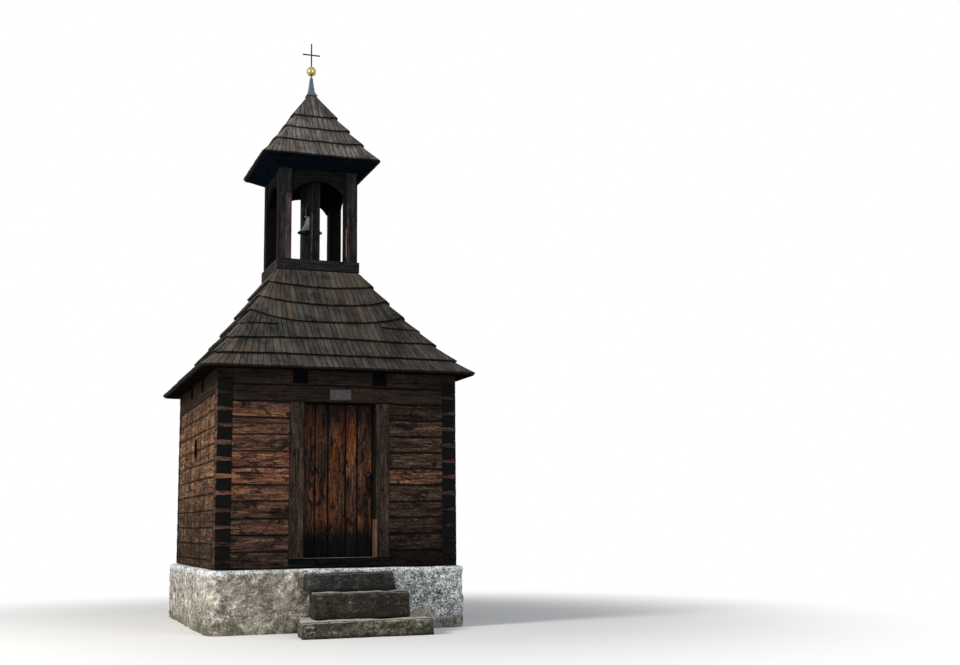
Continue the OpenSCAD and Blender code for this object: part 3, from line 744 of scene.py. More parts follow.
class Shape:
    """Gathers points, faces and painted values, and makes one object of them."""

    def __init__(self, name: str) -> None:
        """Starts an empty shape.

        Args:
            name: name of the piece it becomes.
        """
        self.name = name
        self.points: list[np.ndarray] = []
        self.faces: list[list[int]] = []
        self.slots: list[int] = []
        self.paint: dict[str, list[np.ndarray]] = {"tone": [], "soil_and_shade": [], "tread": [], "grain": []}
        self.count = 0

    def loft(self, rows: np.ndarray, grain: np.ndarray | None = None, tone: float = 0.5,
             soil_and_shade: np.ndarray | float = 0.0, tread: np.ndarray | float = 0.0, closed: bool = False,
             end_slot: int = 0) -> None:
        """Adds a skin round closed rows of points.

        Args:
            rows: rows of points, shape (rows, points, 3).
            grain: place along, into and up the piece, for the fibres, same shape.
            tone: the piece's shade, 0.5 being the finish as it is; it carries painted shade under the eaves
                and on the roof shells, and painted sunlight on the left wall.
            soil_and_shade: dirt and painted shade, from 0 to 1, shape (rows, points).
            tread: wear of a tread from 0 to 1, and mortar over 1, shape (rows, points).
            closed: whether the last row joins the first; otherwise both ends are closed.
            end_slot: material number of the two ends.
        """
        m, n = rows.shape[:2]
        corners = np.arange(m * n).reshape(m, n) + self.count
        for i in range(m if closed else m - 1):
            here, there = corners[i].tolist(), corners[(i + 1) % m].tolist()
            for j in range(n):
                k = (j + 1) % n
                self.faces.append([here[j], here[k], there[k], there[j]])
                self.slots.append(0)
        if not closed:
            self.faces += [corners[0, ::-1].tolist(), corners[-1].tolist()]
            self.slots += [end_slot, end_slot]
        self.points.append(rows.reshape(-1, 3))
        self.paint["grain"].append((rows if grain is None else grain).ravel())
        for key, value in (("tone", tone), ("soil_and_shade", soil_and_shade), ("tread", tread)):
            self.paint[key].append(np.broadcast_to(value, (m, n)).ravel())
        self.count += m * n

    def make(self, body: str, materials: Sequence[Material],
             stands_for: Sequence[str] = (), sharp: float = 38.0) -> None:
        """Makes the object, dresses it and lets it ride.

        Args:
            body: the moving body it rides on.
            materials: one for each material number used.
            stands_for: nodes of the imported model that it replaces.
            sharp: edges over this angle in degrees stay sharp.
        """
        mesh = bpy.data.meshes.new(self.name)
        mesh.from_pydata(np.concatenate(self.points).tolist(), [], self.faces)
        for key, values in self.paint.items():
            kind, field = ("FLOAT_VECTOR", "vector") if key == "grain" else ("FLOAT", "value")
            painted = np.concatenate(values).astype(np.float32)
            mesh.attributes.new(key, kind, "POINT").data.foreach_set(field, painted)
        for material in materials:
            mesh.materials.append(material)
        mesh.polygons.foreach_set("material_index", self.slots)
        mesh.polygons.foreach_set("use_smooth", [True] * len(mesh.polygons))
        mesh.update()
        mesh.set_sharp_from_angle(angle=math.radians(sharp))
        made = bpy.data.objects.new(self.name, mesh)
        bpy.context.scene.collection.objects.link(made)
        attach(made, body)
        if stands_for:
            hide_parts(*stands_for)
        log.info("%s: %d points, %d faces", self.name, len(mesh.vertices), len(mesh.polygons))


def ring(half_x: float, half_y: float, radius: float, z: float, arc: int = 6, straights: int = 12,
         middle: tuple[float, float] = (0.0, 0.0)) -> np.ndarray:
    """Level rounded rectangle as points, counted from the front's left corner.

    Args:
        half_x: half width.
        half_y: half depth.
        radius: corner radius.
        z: height.
        arc: parts of each corner.
        straights: parts of each straight.
        middle: centre in x and y.

    Returns:
        The points, as many for every size.
    """
    corners = [(-1, -1), (1, -1), (1, 1), (-1, 1)]
    flat = np.array([half_x - radius, half_y - radius])
    parts = []
    for q, corner in enumerate(corners):
        angles = math.pi + q * math.pi / 2 + np.linspace(0, math.pi / 2, arc + 1)
        bend = corner * flat + radius * np.column_stack([np.cos(angles), np.sin(angles)])
        onward = corners[(q + 1) % 4] * flat + bend[-1] - corner * flat
        shares = np.arange(1, straights)[:, None] / straights
        parts += [bend, bend[-1] + (onward - bend[-1]) * shares]
    points = np.concatenate(parts)
    return np.column_stack([points[:, 0] + middle[0], points[:, 1] + middle[1], np.full(len(points), z)])


def lathe(profile: Sequence[tuple[float, float]], middle: Triple, sides: int = 48) -> np.ndarray:
    """Rows of points turned about a standing axis.

    Args:
        profile: radius and height of each row.
        middle: foot of the axis.
        sides: points round the axis.

    Returns:
        The rows.
    """
    x, y, foot = middle
    angles = np.arange(sides) * 2 * math.pi / sides
    rows = [[(x + r * math.cos(a), y + r * math.sin(a), foot + z) for a in angles] for r, z in profile]
    return np.array(rows)


@dataclass(frozen=True)
class Lay:
    """How a timber lies: a corner and the directions of its length, depth and height."""

    origin: Triple
    along: Triple
    inward: Triple
    up: Triple

    def world(self, *shares: np.ndarray) -> np.ndarray:
        """Carries points of the timber into the frame.

        Args:
            shares: places along, into and up the timber.

        Returns:
            Their places in the frame.
        """
        axes = (self.along, self.inward, self.up)
        a, b, c = (share[..., None] * np.array(axis) for share, axis in zip(shares, axes))
        return np.array(self.origin) + a + b + c


def level(value: float) -> Section:
    """Edge of a section that stays at one height."""
    return lambda a, b: np.full(np.broadcast(a, b).shape, value)


@dataclass(frozen=True)
class Timber:
    """One hewn or sawn timber, swept along its length with worn edges, hollows and drying checks.

    Low and high give the section's lower and upper edge by the place along and into the timber, and breaks
    are the places where they jump.
    """

    lay: Lay
    start: float
    end: float
    depth: float
    low: Section
    high: Section
    breaks: tuple[float, ...] = ()
    worn: float = 0.011
    hollow: float = 0.004
    checks: int = 2
    dirt_and_shade: float = 1.0
    step: float = 0.03
    seed: int = 0
    face: tuple[float, ...] = (0.0, 0.05, 0.25, 0.5, 0.75, 0.95, 1.0)
    back: tuple[float, ...] = (1.0, 0.66, 0.33, 0.0)
    ease: float = 0.29
    check_length: tuple[float, float] = (0.25, 0.8)
    check_depth: float = 0.013
    check_drift: float = 0.045
    check_half: tuple[float, float] = (0.0006, 0.0032)

    def _stations(self) -> np.ndarray:
        """Cuts the length into steps, doubled where the section changes.

        Returns:
            Places along the timber.
        """
        count = max(2, round((self.end - self.start) / self.step))
        even = np.linspace(self.start, self.end, count + 1)
        cuts = np.array(self.breaks)
        if len(cuts):
            even = even[np.abs(even[:, None] - cuts).min(axis=1) > 0.012]
        return np.sort(np.concatenate([even, *(cuts + off for off in (-0.007, -1e-5, 1e-5, 0.007))]))

    def _section(self, rng: np.random.Generator) -> tuple[np.ndarray, ...]:
        """Ring of a section.


        Returns:
            Share of the depth and of the height, worn shares of both, and the checks' numbers or -1.
        """
        face = [(v, -1) for v in self.face]
        gaps = rng.permutation(np.arange(1, len(self.face) - 2))[:self.checks]
        for number, gap in enumerate(gaps):
            middle = (self.face[gap] + self.face[gap + 1]) / 2
            face += [(middle, 3 * number + k) for k in range(3)]
        e = self.ease
        points = [(0, v, 0, 1 - 2 * v, mark) for v, mark in sorted(face)]
        points += [(0, 1, e, -e, -1), (0, 1, 1, 0, -1), (0.5, 1, 0, 0, -1)]
        points += [(1, 1, -1, 0, -1), (1, 1, -e, -e, -1)]
        points += [(1, v, 0, 1 - 2 * v, -1) for v in self.back]
        points += [(1, 0, -e, e, -1), (1, 0, -1, 0, -1), (0.5, 0, 0, 0, -1)]
        points += [(0, 0, 1, 0, -1), (0, 0, e, e, -1)]
        return tuple(np.array(column) for column in zip(*points))

    def _check(self, number: int, a: np.ndarray, line: np.ndarray, rng: np.random.Generator,
               grit: Grit) -> tuple[np.ndarray, np.ndarray, np.ndarray]:
        """Course of one drying check along the timber.

        Args:
            number: the check's number.
            a: places along the timber.
            line: the same places in the noise.
            rng: chooses its length and middle.
            grit: lets it wander.

        Returns:
            How far it is open, from 0 to 1, its drift as a share of the height, and half its width.
        """
        length = rng.uniform(*self.check_length) * (self.end - self.start)
        middle = rng.uniform(self.start, self.end)
        window = np.clip(1.2 - np.abs(a - middle) / length * 2, 0, 1) ** 0.5
        drift = self.check_drift * grit.at(line + 20 * (number + 1), (1.5, 1, 1))
        least, more = self.check_half
        half = least + more * window * (0.6 + 0.4 * grit.at(line + 11, (9.0, 1, 1)))
        return window, drift, half

    def into(self, shape: Shape, tone: float) -> None:
        """Adds the timber to a shape.

        Args:
            shape: where it goes.
            tone: its shade, with painted shade under the eaves and painted sunlight on the left wall where
                the walls give it.
        """
        rng, grit = np.random.default_rng(self.seed), Grit(self.seed + 1)
        deep, share, worn_b, worn_c, mark = self._section(rng)
        a = self._stations()[:, None] + np.zeros(len(deep))
        shift = np.array([rng.uniform(0, 30), 0.0, 0.0])
        line = np.stack([a, np.zeros_like(a), np.zeros_like(a)], axis=-1) + shift
        radius = self.worn * (1 + 0.55 * grit.at(line, (3.0, 1, 1)) + 0.25 * grit.at(line + 7, (14.0, 1, 1)))
        b = deep * self.depth + worn_b * radius
        low, high = self.low(a, b), self.high(a, b)
        c = low + (high - low) * share + worn_c * radius
        outside, inside = (deep == 0) & (worn_b == 0), (deep == 1) & (worn_b == 0)
        spot = np.stack([a, b, c], axis=-1) + shift
        relief = 0.5 + 0.5 * grit.at(spot, (2.2, 6, 9)) + 0.25 * grit.at(spot + 3, (9.0, 6, 30))
        b = b + self.hollow * (outside * np.clip(relief, 0, 1.2) - 0.5 * inside * np.clip(relief, 0, 1))
        # dark joint lines at the outer face's edges; dirt and painted shade on the worn arrises and hidden
        # faces
        soil_and_shade = np.where(outside, np.where((share == 0) | (share == 1), 0.8, 0.0), self.dirt_and_shade)
        for number in range(self.checks):
            window, drift, half = self._check(number, a, line, rng, grit)
            for k, side in enumerate((-1, 0, 1)):
                c = np.where(mark == 3 * number + k, c + drift * (high - low) + side * half, c)
            bottom = mark == 3 * number + 1
            b = np.where(bottom, b + self.check_depth * window, b)
            # painted shade at the bottom of each check
            soil_and_shade = np.where(bottom, window, soil_and_shade)
        # painted shade where the section jumps
        for cut in self.breaks:
            soil_and_shade = np.where(np.abs(a - cut) < 1e-4, 1.0, soil_and_shade)
        offset = np.array([shift[0], *rng.integers(0, 40, 2)])
        grain = np.stack([a, b, c - float(np.min(low))], axis=-1) + offset
        shape.loft(self.lay.world(a, b, c), grain, tone, soil_and_shade, end_slot=1)


def piece(name: str, timbers: Iterable[tuple[Timber, float]],
          materials: Sequence[Material], stands_for: Sequence[str] = (), body: str = "tower") -> None:
    """Makes one piece of timbers.

    Args:
        name: the piece's name.
        timbers: each timber and its shade.
        materials: of the flanks and of the ends.
        stands_for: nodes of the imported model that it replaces.
        body: the moving body it rides on.
    """
    shape = Shape(name)
    for timber, tone in timbers:
        timber.into(shape, tone)
    shape.make(body, materials, stands_for)


@dataclass(frozen=True)
class Shade:
    """Shades of a wall's logs: darker towards the foot, and painted shade of the eaves towards the top.

    A peak over 1 puts the lightest log over the wall's middle.
    """

    foot: float = -0.03
    swell: float = 0.66
    peak: float = 1.0
    chance: float = 0.143

    def at(self, height: float, rng: np.random.Generator) -> float:
        """Shade of a log, with a share of chance.

        Args:
            height: height of its middle.
            rng: source of the chance.

        Returns:
            The shade, 0.5 being the finish as it is.
        """
        share = min(max((height - PLINTH_TOP) / (WALL_TOP - PLINTH_TOP) * 1.01, 0), 1) ** self.peak
        chance = rng.uniform(-self.chance, self.chance)
        return float(np.clip(self.foot + self.swell * math.sin(math.pi * share) ** 1.4 + chance, -0.36, 1.0))


@dataclass(frozen=True)
class Walls:
    """Log walls of the room, dovetailed at the corners, as hewn timbers."""

    courses: int = 10
    tail_half: float = 0.042
    tail_slope: float = 0.08
    wander: float = 0.007
    vent_half: float = 0.13
    vent_low: float = 2.165
    vent_high: float = 2.385
    even: Shade = Shade()
    right_front: Shade = Shade(-0.4, 0.67)
    # painted sunlight: the left wall's logs are made lighter overall
    sunlit_left_side: Shade = Shade(0.02, 0.8, 1.4)

    def tail(self, k: int, side: int, x: np.ndarray, y: np.ndarray) -> np.ndarray:
        """Upper (side 1) or lower (side -1) plane of dovetail k."""
        slope = self.tail_slope * ((np.abs(x) - WALL_X + LOG_T / 2) - (np.abs(y) - WALL_Y + LOG_T / 2))
        return rise(k + 0.5) + side * (self.tail_half + slope)

    def joint(self, height: float, wall: int, a: np.ndarray) -> np.ndarray:
        """Wandering joint between two courses, level on the plinth and under the roof.

        Args:
            height: its height.
            wall: the wall's number, so that no two are alike.
            a: places along the wall.

        Returns:
            The joint's height at each place.
        """
        if not PLINTH_TOP + 0.02 < height < WALL_TOP - 0.01:
            return np.full_like(a, height)
        line = np.stack([a, np.full_like(a, wall * 3.7), np.full_like(a, height)], axis=-1)
        return height + self.wander * (GRIT.at(line, (1.1, 1, 5)) + 0.35 * GRIT.at(line, (4.5, 1, 5)))

    @staticmethod
    def seats(a: np.ndarray, otherwise: np.ndarray) -> np.ndarray:
        """Upper edge of a plate, let down where the tie beams lie."""
        return np.where(np.abs(np.abs(a) - TIE_AT) < TIE_HALF, TIE_FOOT, otherwise)

    def front_log(self, k: int, side: int, start: float, end: float, seed: int) -> Timber:
        """Log of the front or back wall.

        Args:
            k: its course; the one over the last is the plate.
            side: -1 front, 1 back.
            start: where it begins along the wall.
            end: where it ends.
            seed: source of its chance shapes.

        Returns:
            The log.
        """
        foot, wall, plate = rise(k), 1 if side < 0 else 4, k > self.courses

        def low(x: np.ndarray, b: np.ndarray) -> np.ndarray:
            """Lower edge, cut to the tail past the shoulder."""
            body = self.joint(foot, wall, x) + OPEN_JOINT / 2
            return np.where(np.abs(x) > SHOULDER_X, self.tail(k, -1, x, WALL_Y - b), body)

        def high(x: np.ndarray, b: np.ndarray) -> np.ndarray:
            """Upper edge, cut to the tail or, in the plate, to the tie beams.

            Args:
                x: places along the log.
                b: places into it.

            Returns:
                The heights.
            """
            body = self.joint(foot + COURSE, wall, x) - OPEN_JOINT / 2
            if plate:
                return self.seats(x, body)
            return np.where(np.abs(x) > SHOULDER_X, self.tail(k, 1, x, WALL_Y - b), body)

        cuts = (-SHOULDER_X, SHOULDER_X) + (TIE_CUTS if plate else ())
        lay = Lay((0, side * WALL_Y, 0), RIGHT, (0, -side, 0), UP)
        inside = tuple(sorted(c for c in cuts if start < c < end))
        return Timber(lay, start, end, LOG_T, low, high, inside, seed=seed)

    def side_log(self, j: int, side: int, seed: int) -> Timber:
        """Log of the left or right wall.

        Args:
            j: its course; 0 is the half log and the one over the last is the plate.
            side: -1 left, with the vent, 1 right.
            seed: source of its chance shapes.

        Returns:
            The log.
        """
        plate, wall = j > self.courses, 7 + side
        foot = rise(max(j - 0.5, 0))
        top = rise(self.courses + 2 if plate else j + 0.5)
        corner_y = WALL_Y - LOG_T - OPEN_JOINT
        over, under = (side < 0 and foot < height < top for height in (self.vent_high, self.vent_low))

        def low(y: np.ndarray, b: np.ndarray) -> np.ndarray:
            """Lower edge, with the vent's head and the tail.

            Args:
                y: places along the log.
                b: places into it.

            Returns:
                The heights.
            """
            body = self.joint(foot, wall, y) + OPEN_JOINT / 2
            if over:
                body = np.where(np.abs(y) < self.vent_half, self.vent_high, body)
            tail = self.tail(j - 1, 1, WALL_X - b, y) + OPEN_JOINT if j else body
            return np.where(np.abs(y) > corner_y, tail, body)

        def high(y: np.ndarray, b: np.ndarray) -> np.ndarray:
            """Upper edge, with the vent's foot, the tie beams' seats and the tail.

            Args:
                y: places along the log.
                b: places into it.

            Returns:
                The heights.
            """
            body = self.joint(top, wall, y) - OPEN_JOINT / 2
            if under:
                body = np.where(np.abs(y) < self.vent_half, self.vent_low, body)
            if plate:
                body = self.seats(y, body)
            tail = self.tail(j, -1, WALL_X - b, y) - OPEN_JOINT
            return np.where(np.abs(y) > corner_y, tail, body)

        cuts = (-corner_y, corner_y) + (TIE_CUTS if plate else ())
        if over or under:
            cuts += (-self.vent_half, self.vent_half)
        lay = Lay((side * WALL_X, 0, 0), BACK, (-side, 0, 0), UP)
        return Timber(lay, -WALL_Y, WALL_Y, LOG_T, low, high, tuple(sorted(cuts)), worn=0.008, step=0.036,
                      seed=seed)

    def build(self) -> None:
        """Makes each wall as one piece of separate logs."""
        rng = np.random.default_rng(46263)
        wood, sunny, eave_shaded_wood = LOG_WOOD.material(), SUNNY_WOOD.material(), EAVE_SHADED_WOOD.material()
        end, tail_end = LOG_END.material(), TAIL_END.material()
        fronts = (("left", -WALL_X, -FRAME_X, self.even), ("right", FRAME_X, WALL_X, self.right_front))
        for name, start, stop, shade in fronts:
            seed = 100 + len(name)
            logs = [(self.front_log(k, -1, start, stop, seed + 7 * k), shade.at(rise(k + 0.5), rng))
                    for k in range(self.courses)]
            piece(f"front_logs_{name}", logs, [wood, tail_end], [f"front_wall_{name}"])
        logs = [(self.front_log(self.courses, -1, -WALL_X, WALL_X, 205), 0.55)]
        piece("lintel", logs, [eave_shaded_wood, tail_end], ["lintel_log"])
        logs = [(self.front_log(k, 1, -WALL_X, WALL_X, 300 + 5 * k), self.even.at(rise(k + 0.5), rng))
                for k in range(self.courses + 1)]
        piece("back_logs", logs, [wood, end], ["back_wall"])
        for name, side, shade, face in (("left", -1, self.sunlit_left_side, sunny), ("right", 1, self.even, wood)):
            logs = [(self.side_log(j, side, 400 + 40 * side + 3 * j), shade.at(rise(j), rng))
                    for j in range(self.courses + 1)]
            piece(f"{name}_logs", logs, [face, end], [f"{name}_wall"])
        plate, sides = self.courses + 1, (-1, 1)
        logs = [(self.front_log(plate, side, -WALL_X, WALL_X, 500 + side), 0.4) for side in sides]
        piece("top_plates_ends", logs, [eave_shaded_wood, end], ["end_plates"])
        logs = [(self.side_log(plate, side, 520 + side), 0.5) for side in sides]
        piece("top_plates_sides", logs, [SIDE_EAVE_SHADED_WOOD.material(), end], ["side_plates"])


@dataclass(frozen=True)
class Slope:
    """Hollow hipped slope: half widths, corner radius and height by the share from its top."""

    head: float
    eave_x: float
    eave_y: float
    radius_head: float
    radius_eave: float
    foot: float
    rise: float
    hollow: float

    def level(self, s: float) -> tuple[float, float, float, float]:
        """Sizes of the level outline at share s.

        Args:
            s: share from the top to the eave.

        Returns:
            Half widths in x and y, corner radius and height.
        """
        up = (1 - s) * (1 - self.hollow) + self.hollow * (1 - s) ** 2
        pairs = ((self.head, self.eave_x), (self.head, self.eave_y), (self.radius_head, self.radius_eave))
        return (*(a + (b - a) * s for a, b in pairs), self.foot + self.rise * up)

    def halves(self, s: float, side: int) -> tuple[float, float, float, float]:
        """Level seen from a side: half width along it, half width across, radius, height."""
        x, y, r, z = self.level(s)
        return (x, y, r, z) if side % 2 == 0 else (y, x, r, z)

    def reach(self, s: float, side: int) -> float:
        """Distance along the level line from a side's middle to the hip."""
        along, _, r, _ = self.halves(s, side)
        return along - r + math.pi / 4 * r

    def raised(self, s: float, side: int, lift: float) -> tuple[float, float]:
        """Steps outward and upward that lift a point off the surface.

        Args:
            s: share from the top to the eave.
            side: 0 front, 1 right, 2 back, 3 left.
            lift: distance over the surface.

        Returns:
            The two steps.
        """
        _, across, _, z = self.halves(s, side)
        _, across_next, _, z_next = self.halves(s + 0.01, side)
        run, drop = across_next - across, z - z_next
        size = math.hypot(run, drop)
        return drop / size * lift, run / size * lift

    def point(self, s: float, side: int, d: float, lift: float) -> np.ndarray:
        """Place on the slope.

        Args:
            s: share from the top to the eave; a little under 0 is taken as 0.
            side: 0 front, 1 right, 2 back, 3 left.
            d: distance along the level line from the side's middle.
            lift: distance over the surface.

        Returns:
            The place in the frame.
        """
        s = max(s, 0.0)
        along, across, r, z = self.halves(s, side)
        out, up = self.raised(s, side, lift)
        flat = along - r
        if abs(d) <= flat:
            x, y = d, -(across + out)
        else:
            angle = (abs(d) - flat) / r
            x = math.copysign(flat + (r + out) * math.sin(angle), d)
            y = -(across - r + (r + out) * math.cos(angle))
        c, n = math.cos(side * math.pi / 2), math.sin(side * math.pi / 2)
        return np.array([x * c - y * n, x * n + y * c, z + up])


@dataclass(frozen=True)
class Course:
    """One course of shingles: share of the slope at its butts, at the middle and at the hips.

    A part row lies only beyond part_from, a share of the way from a side's middle to its hip.
    """

    middle: float
    hip: float
    part_from: float = 0.0
    bend: float = 2.5

    def at(self, q: float) -> float:
        """Share of the slope at the lateral share q, from 0 at the middle to 1 at the hip."""
        return self.middle + (self.hip - self.middle) * abs(q) ** self.bend


@dataclass(frozen=True)
class ShingleRoof:
    """Roof of tapered boards in lapped courses over a shell painted dark as shade.

    A board stands proud of the slope at its butt and is sunk at its head. Nudge, sway, gaps, jut and tilt say
    how far chance moves it.
    """

    name: str
    node: str
    slope: Slope
    courses: tuple[Course, ...]
    board: float
    finish: ShingleFinish
    lip_low: float
    base: float
    seed: int
    thick: float = 0.03
    thin: float = 0.005
    eased: float = 0.007
    proud: float = 0.01
    sunk: float = 0.022
    lap: float = 0.05
    parts: int = 4
    lip_out: float = 0.012
    lip_in: float = 0.045
    shell: tuple[float, float] = (-0.028, -0.055)
    nudge: float = 0.0016
    sway: float = 0.008
    gaps: tuple[float, float] = (0.0008, 0.0022)
    jut: float = 0.003
    tilt: float = 0.0015
    # dirt and painted shade on each board's side edges and underside, by corner of its section
    soil_and_shade: tuple[float, ...] = (0.9, 0.0, 0.0, 0.9, 1.0, 1.0)

    def _board(self, shape: Shape, rng: np.random.Generator, course: Course, above: Course, side: int,
               left: float, right: float) -> None:
        """Adds one shingle.

        Args:
            shape: where it goes.
            rng: source of its chance shape and shade.
            course: its course.
            above: the course it laps under.
            side: 0 front, 1 right, 2 back, 3 left.
            left: where it begins along its butt line, as a share of the side's reach.
            right: where it ends.
        """
        middle = (left + right) / 2
        wobble = GRIT.at(np.array([middle * 2 + side * 9, course.middle * 20, self.seed]), 1.0)
        nudge = rng.uniform(-1, 1) * self.nudge + self.sway * float(wobble)
        ends = [min(course.at(q) + nudge, 1.0) for q in (left, right)]
        if course.middle >= 1:
            ends = [1.0 - rng.uniform(0, 0.002)] * 2
        s_butt, s_above = sum(ends) / 2, above.at(middle)
        s_head = max(s_above - self.lap, 0.0)
        reach = self.slope.reach(s_butt, side)
        gap = rng.uniform(*self.gaps)
        jut = rng.uniform(-self.jut, self.jut)
        tilt = rng.uniform(-self.tilt, self.tilt)
        corners = ((left, gap, 0, 0), (left, gap + self.eased, 0, 0), (right, -gap - self.eased, 1, 0),
                   (right, -gap, 1, 0), (right, -gap, 1, 1), (left, gap, 0, 1))
        rows, marks = [], []
        for part in (*np.linspace(0, 1, self.parts), 0.985, 1.0):
            for q, inset, end, under in corners:
                s = s_head + (ends[end] - s_head) * part
                share = (s - s_above) / max(s_butt - s_above, 1e-6)
                lift = (self.proud + jut + self.sunk) * max(share, -0.15) - self.sunk
                lift += tilt if end else -tilt
                lift -= under * (self.thin + (self.thick - self.thin) * max(share, 0.0))
                narrowing = reach - self.slope.reach(s, side)
                d = q * reach + inset - math.copysign(narrowing * abs(q) ** 3, q)
                rows.append(self.slope.point(s, side, d, lift))
                marks.append([(s - s_head) * 2.0, d + side * 5, lift])
        size = (-1, len(corners), 3)
        soil_and_shade = np.tile(self.soil_and_shade, (len(rows) // len(corners), 1))
        # painted shadow on the butt end
        soil_and_shade[-1] = 0.95
        tone = float(np.clip(rng.normal(0.4, 0.17), 0, 1))
        offset = np.array([rng.uniform(0, 20), 0, 0])
        shape.loft(np.reshape(rows, size), np.reshape(marks, size) + offset, tone, soil_and_shade)

    def _row(self, s: float, lift: float) -> np.ndarray:
        """Level ring of the slope.

        Args:
            s: share from the top to the eave.
            lift: distance over the surface.

        Returns:
            Its points.
        """
        x, y, r, z = self.slope.level(s)
        out, up = self.slope.raised(s, 1, lift)
        return ring(x + out, y + out, max(r + out, 0.006), z + up)

    def _shell(self, shape: Shape) -> None:
        """Adds the closed shell under the boards, with the hanging lip round the eave, painted near black as
        shade.

        Args:
            shape: where it goes.
        """
        outside, inside = self.shell
        rows = [self._row(s, outside) for s in np.linspace(0, 1, 12)]
        x, y, r, _ = self.slope.level(1.0)
        for inset, z in ((self.lip_out, self.lip_low), (self.lip_in, self.lip_low), (self.lip_in, self.base)):
            rows.append(ring(x - inset, y - inset, r - inset, z))
        rows += [self._row(s, inside) for s in np.linspace(1, 0, 12)
                 if self.slope.level(s)[3] + inside > self.base + 0.02]
        # painted shade: the shell is made near black all over
        shape.loft(np.array(rows), tone=-0.6, soil_and_shade=1.0, closed=True)

    def build(self) -> None:
        """Makes the roof as one piece of shell and shingles."""
        rng = np.random.default_rng(self.seed)
        shape = Shape(self.name)
        self._shell(shape)
        for number, course in enumerate(self.courses):
            above = self.courses[number - 1] if number else Course(0.0, 0.0)
            if number and above.part_from:
                above = self.courses[number - 2]
            for side in range(4):
                reach = self.slope.reach(course.middle, side)
                count = max(4, round(2 * reach / self.board))
                widths = rng.uniform(0.75, 1.25, count)
                edges = np.concatenate([[0], np.cumsum(widths)]) / widths.sum() * 2 - 1
                for left, right in zip(edges[:-1], edges[1:]):
                    if abs(left + right) / 2 >= course.part_from:
                        self._board(shape, rng, course, above, side, float(left), float(right))
        shape.make("tower", [self.finish.material()], [self.node], 25.0)


@dataclass(frozen=True)
class Plinth:
    """Rubble mass under its lime render: lumpy faces, soft corners and a sloped ledge."""

    half_x: float = 1.615
    half_y: float = 1.915
    radius: float = 0.17
    top_edge: float = 0.04
    ledge: tuple[float, ...] = (0.05, 0.075, 0.1, 0.13, 0.17)
    spacing: float = 0.026
    lump: float = 0.034
    sag: float = 0.012
    stones: int = 620
    valley: float = 0.07
    finish: RenderFinish = LIME_RENDER

    def build(self) -> None:
        """Makes the plinth."""
        foot = PLINTH_TOP - self.top_edge
        turned = self.top_edge * np.sin(np.linspace(0.2, math.pi / 2, 6))
        rows = []
        for z in np.concatenate([np.linspace(0, foot, 28), foot + turned]):
            over = max(0.0, (z - PLINTH_TOP + self.top_edge) / self.top_edge)
            rows.append(self._row(self.top_edge * (1 - math.sqrt(max(0.0, 1 - over ** 2))), z))
        rows += [self._row(inset, PLINTH_TOP) for inset in self.ledge]
        points = self._lumped(np.array(rows))
        low = np.clip((0.3 - points[..., 2]) / 0.3, 0, 1)
        shape = Shape("plinth_render")
        # darker patches towards the bottom
        shape.loft(points, soil_and_shade=0.35 * np.clip(GRIT.at(points, 1.7) + 0.2, 0, 1) * low)
        shape.make("tower", [self.finish.material()], ["plinth"], 60.0)

    def _row(self, inset: float, z: float) -> np.ndarray:
        """Level outline at a height, drawn in by an inset."""
        radius, straights = max(self.radius - inset, 0.02), round(2 * self.half_x / self.spacing)
        return ring(self.half_x - inset, self.half_y - inset, radius, z, 10, straights)

    def _stones(self) -> np.ndarray:
        """Buries stones, about as many behind each face.

        Returns:
            Their middles.
        """
        rng = np.random.default_rng(21)
        spots = rng.uniform(-1, 1, (self.stones, 3)) * np.array([self.half_x, self.half_y, 0]) * 1.02
        faces = rng.integers(0, 4, self.stones)
        spots[faces == 0, 1], spots[faces == 1, 0] = -self.half_y, self.half_x
        spots[faces == 2, 1], spots[faces == 3, 0] = self.half_y, -self.half_x
        spots[:, 2] = rng.uniform(0, PLINTH_TOP, self.stones)
        return spots

    def _lumped(self, points: np.ndarray) -> np.ndarray:
        """Pushes points inward between the stones and by the hand-laid coat.

        Args:
            points: rows of points of the plain block.

        Returns:
            The rows moved.
        """
        outward = points * np.array([1, 1, 0])
        edge = np.array([self.half_x - self.radius, self.half_y - self.radius, 0])
        outward = outward - np.clip(outward, -edge, edge)
        size = np.linalg.norm(outward, axis=-1, keepdims=True)
        outward = np.where(size > 1e-6, outward / np.maximum(size, 1e-6), 0)
        stretch = np.array([1.0, 1.0, 1.35])
        spots = (self._stones() * stretch)[None]
        flat = points.reshape(-1, 3) * stretch
        near = np.empty((len(flat), 2))
        batch = 4000
        for i in range(0, len(flat), batch):
            gaps = np.linalg.norm(flat[i:i + batch, None] - spots, axis=-1)
            near[i:i + batch] = np.partition(gaps, 1, axis=1)[:, :2]
        valley = np.clip(1 - (near[:, 1] - near[:, 0]) / self.valley, 0, 1).reshape(points.shape[:2]) ** 1.5
        wave = 0.5 + 0.5 * GRIT.at(points, 2.3)
        fine = 0.5 + 0.5 * GRIT.at(points, 11.0)
        inward = self.lump * (0.6 * valley + 0.6 * wave + 0.35 * fine)
        made = points - outward * inward[..., None]
        high = points[..., 2] > PLINTH_TOP - self.top_edge
        made[..., 2] -= self.sag * (0.5 + 0.5 * GRIT.at(points, 3.1)) * high
        return made


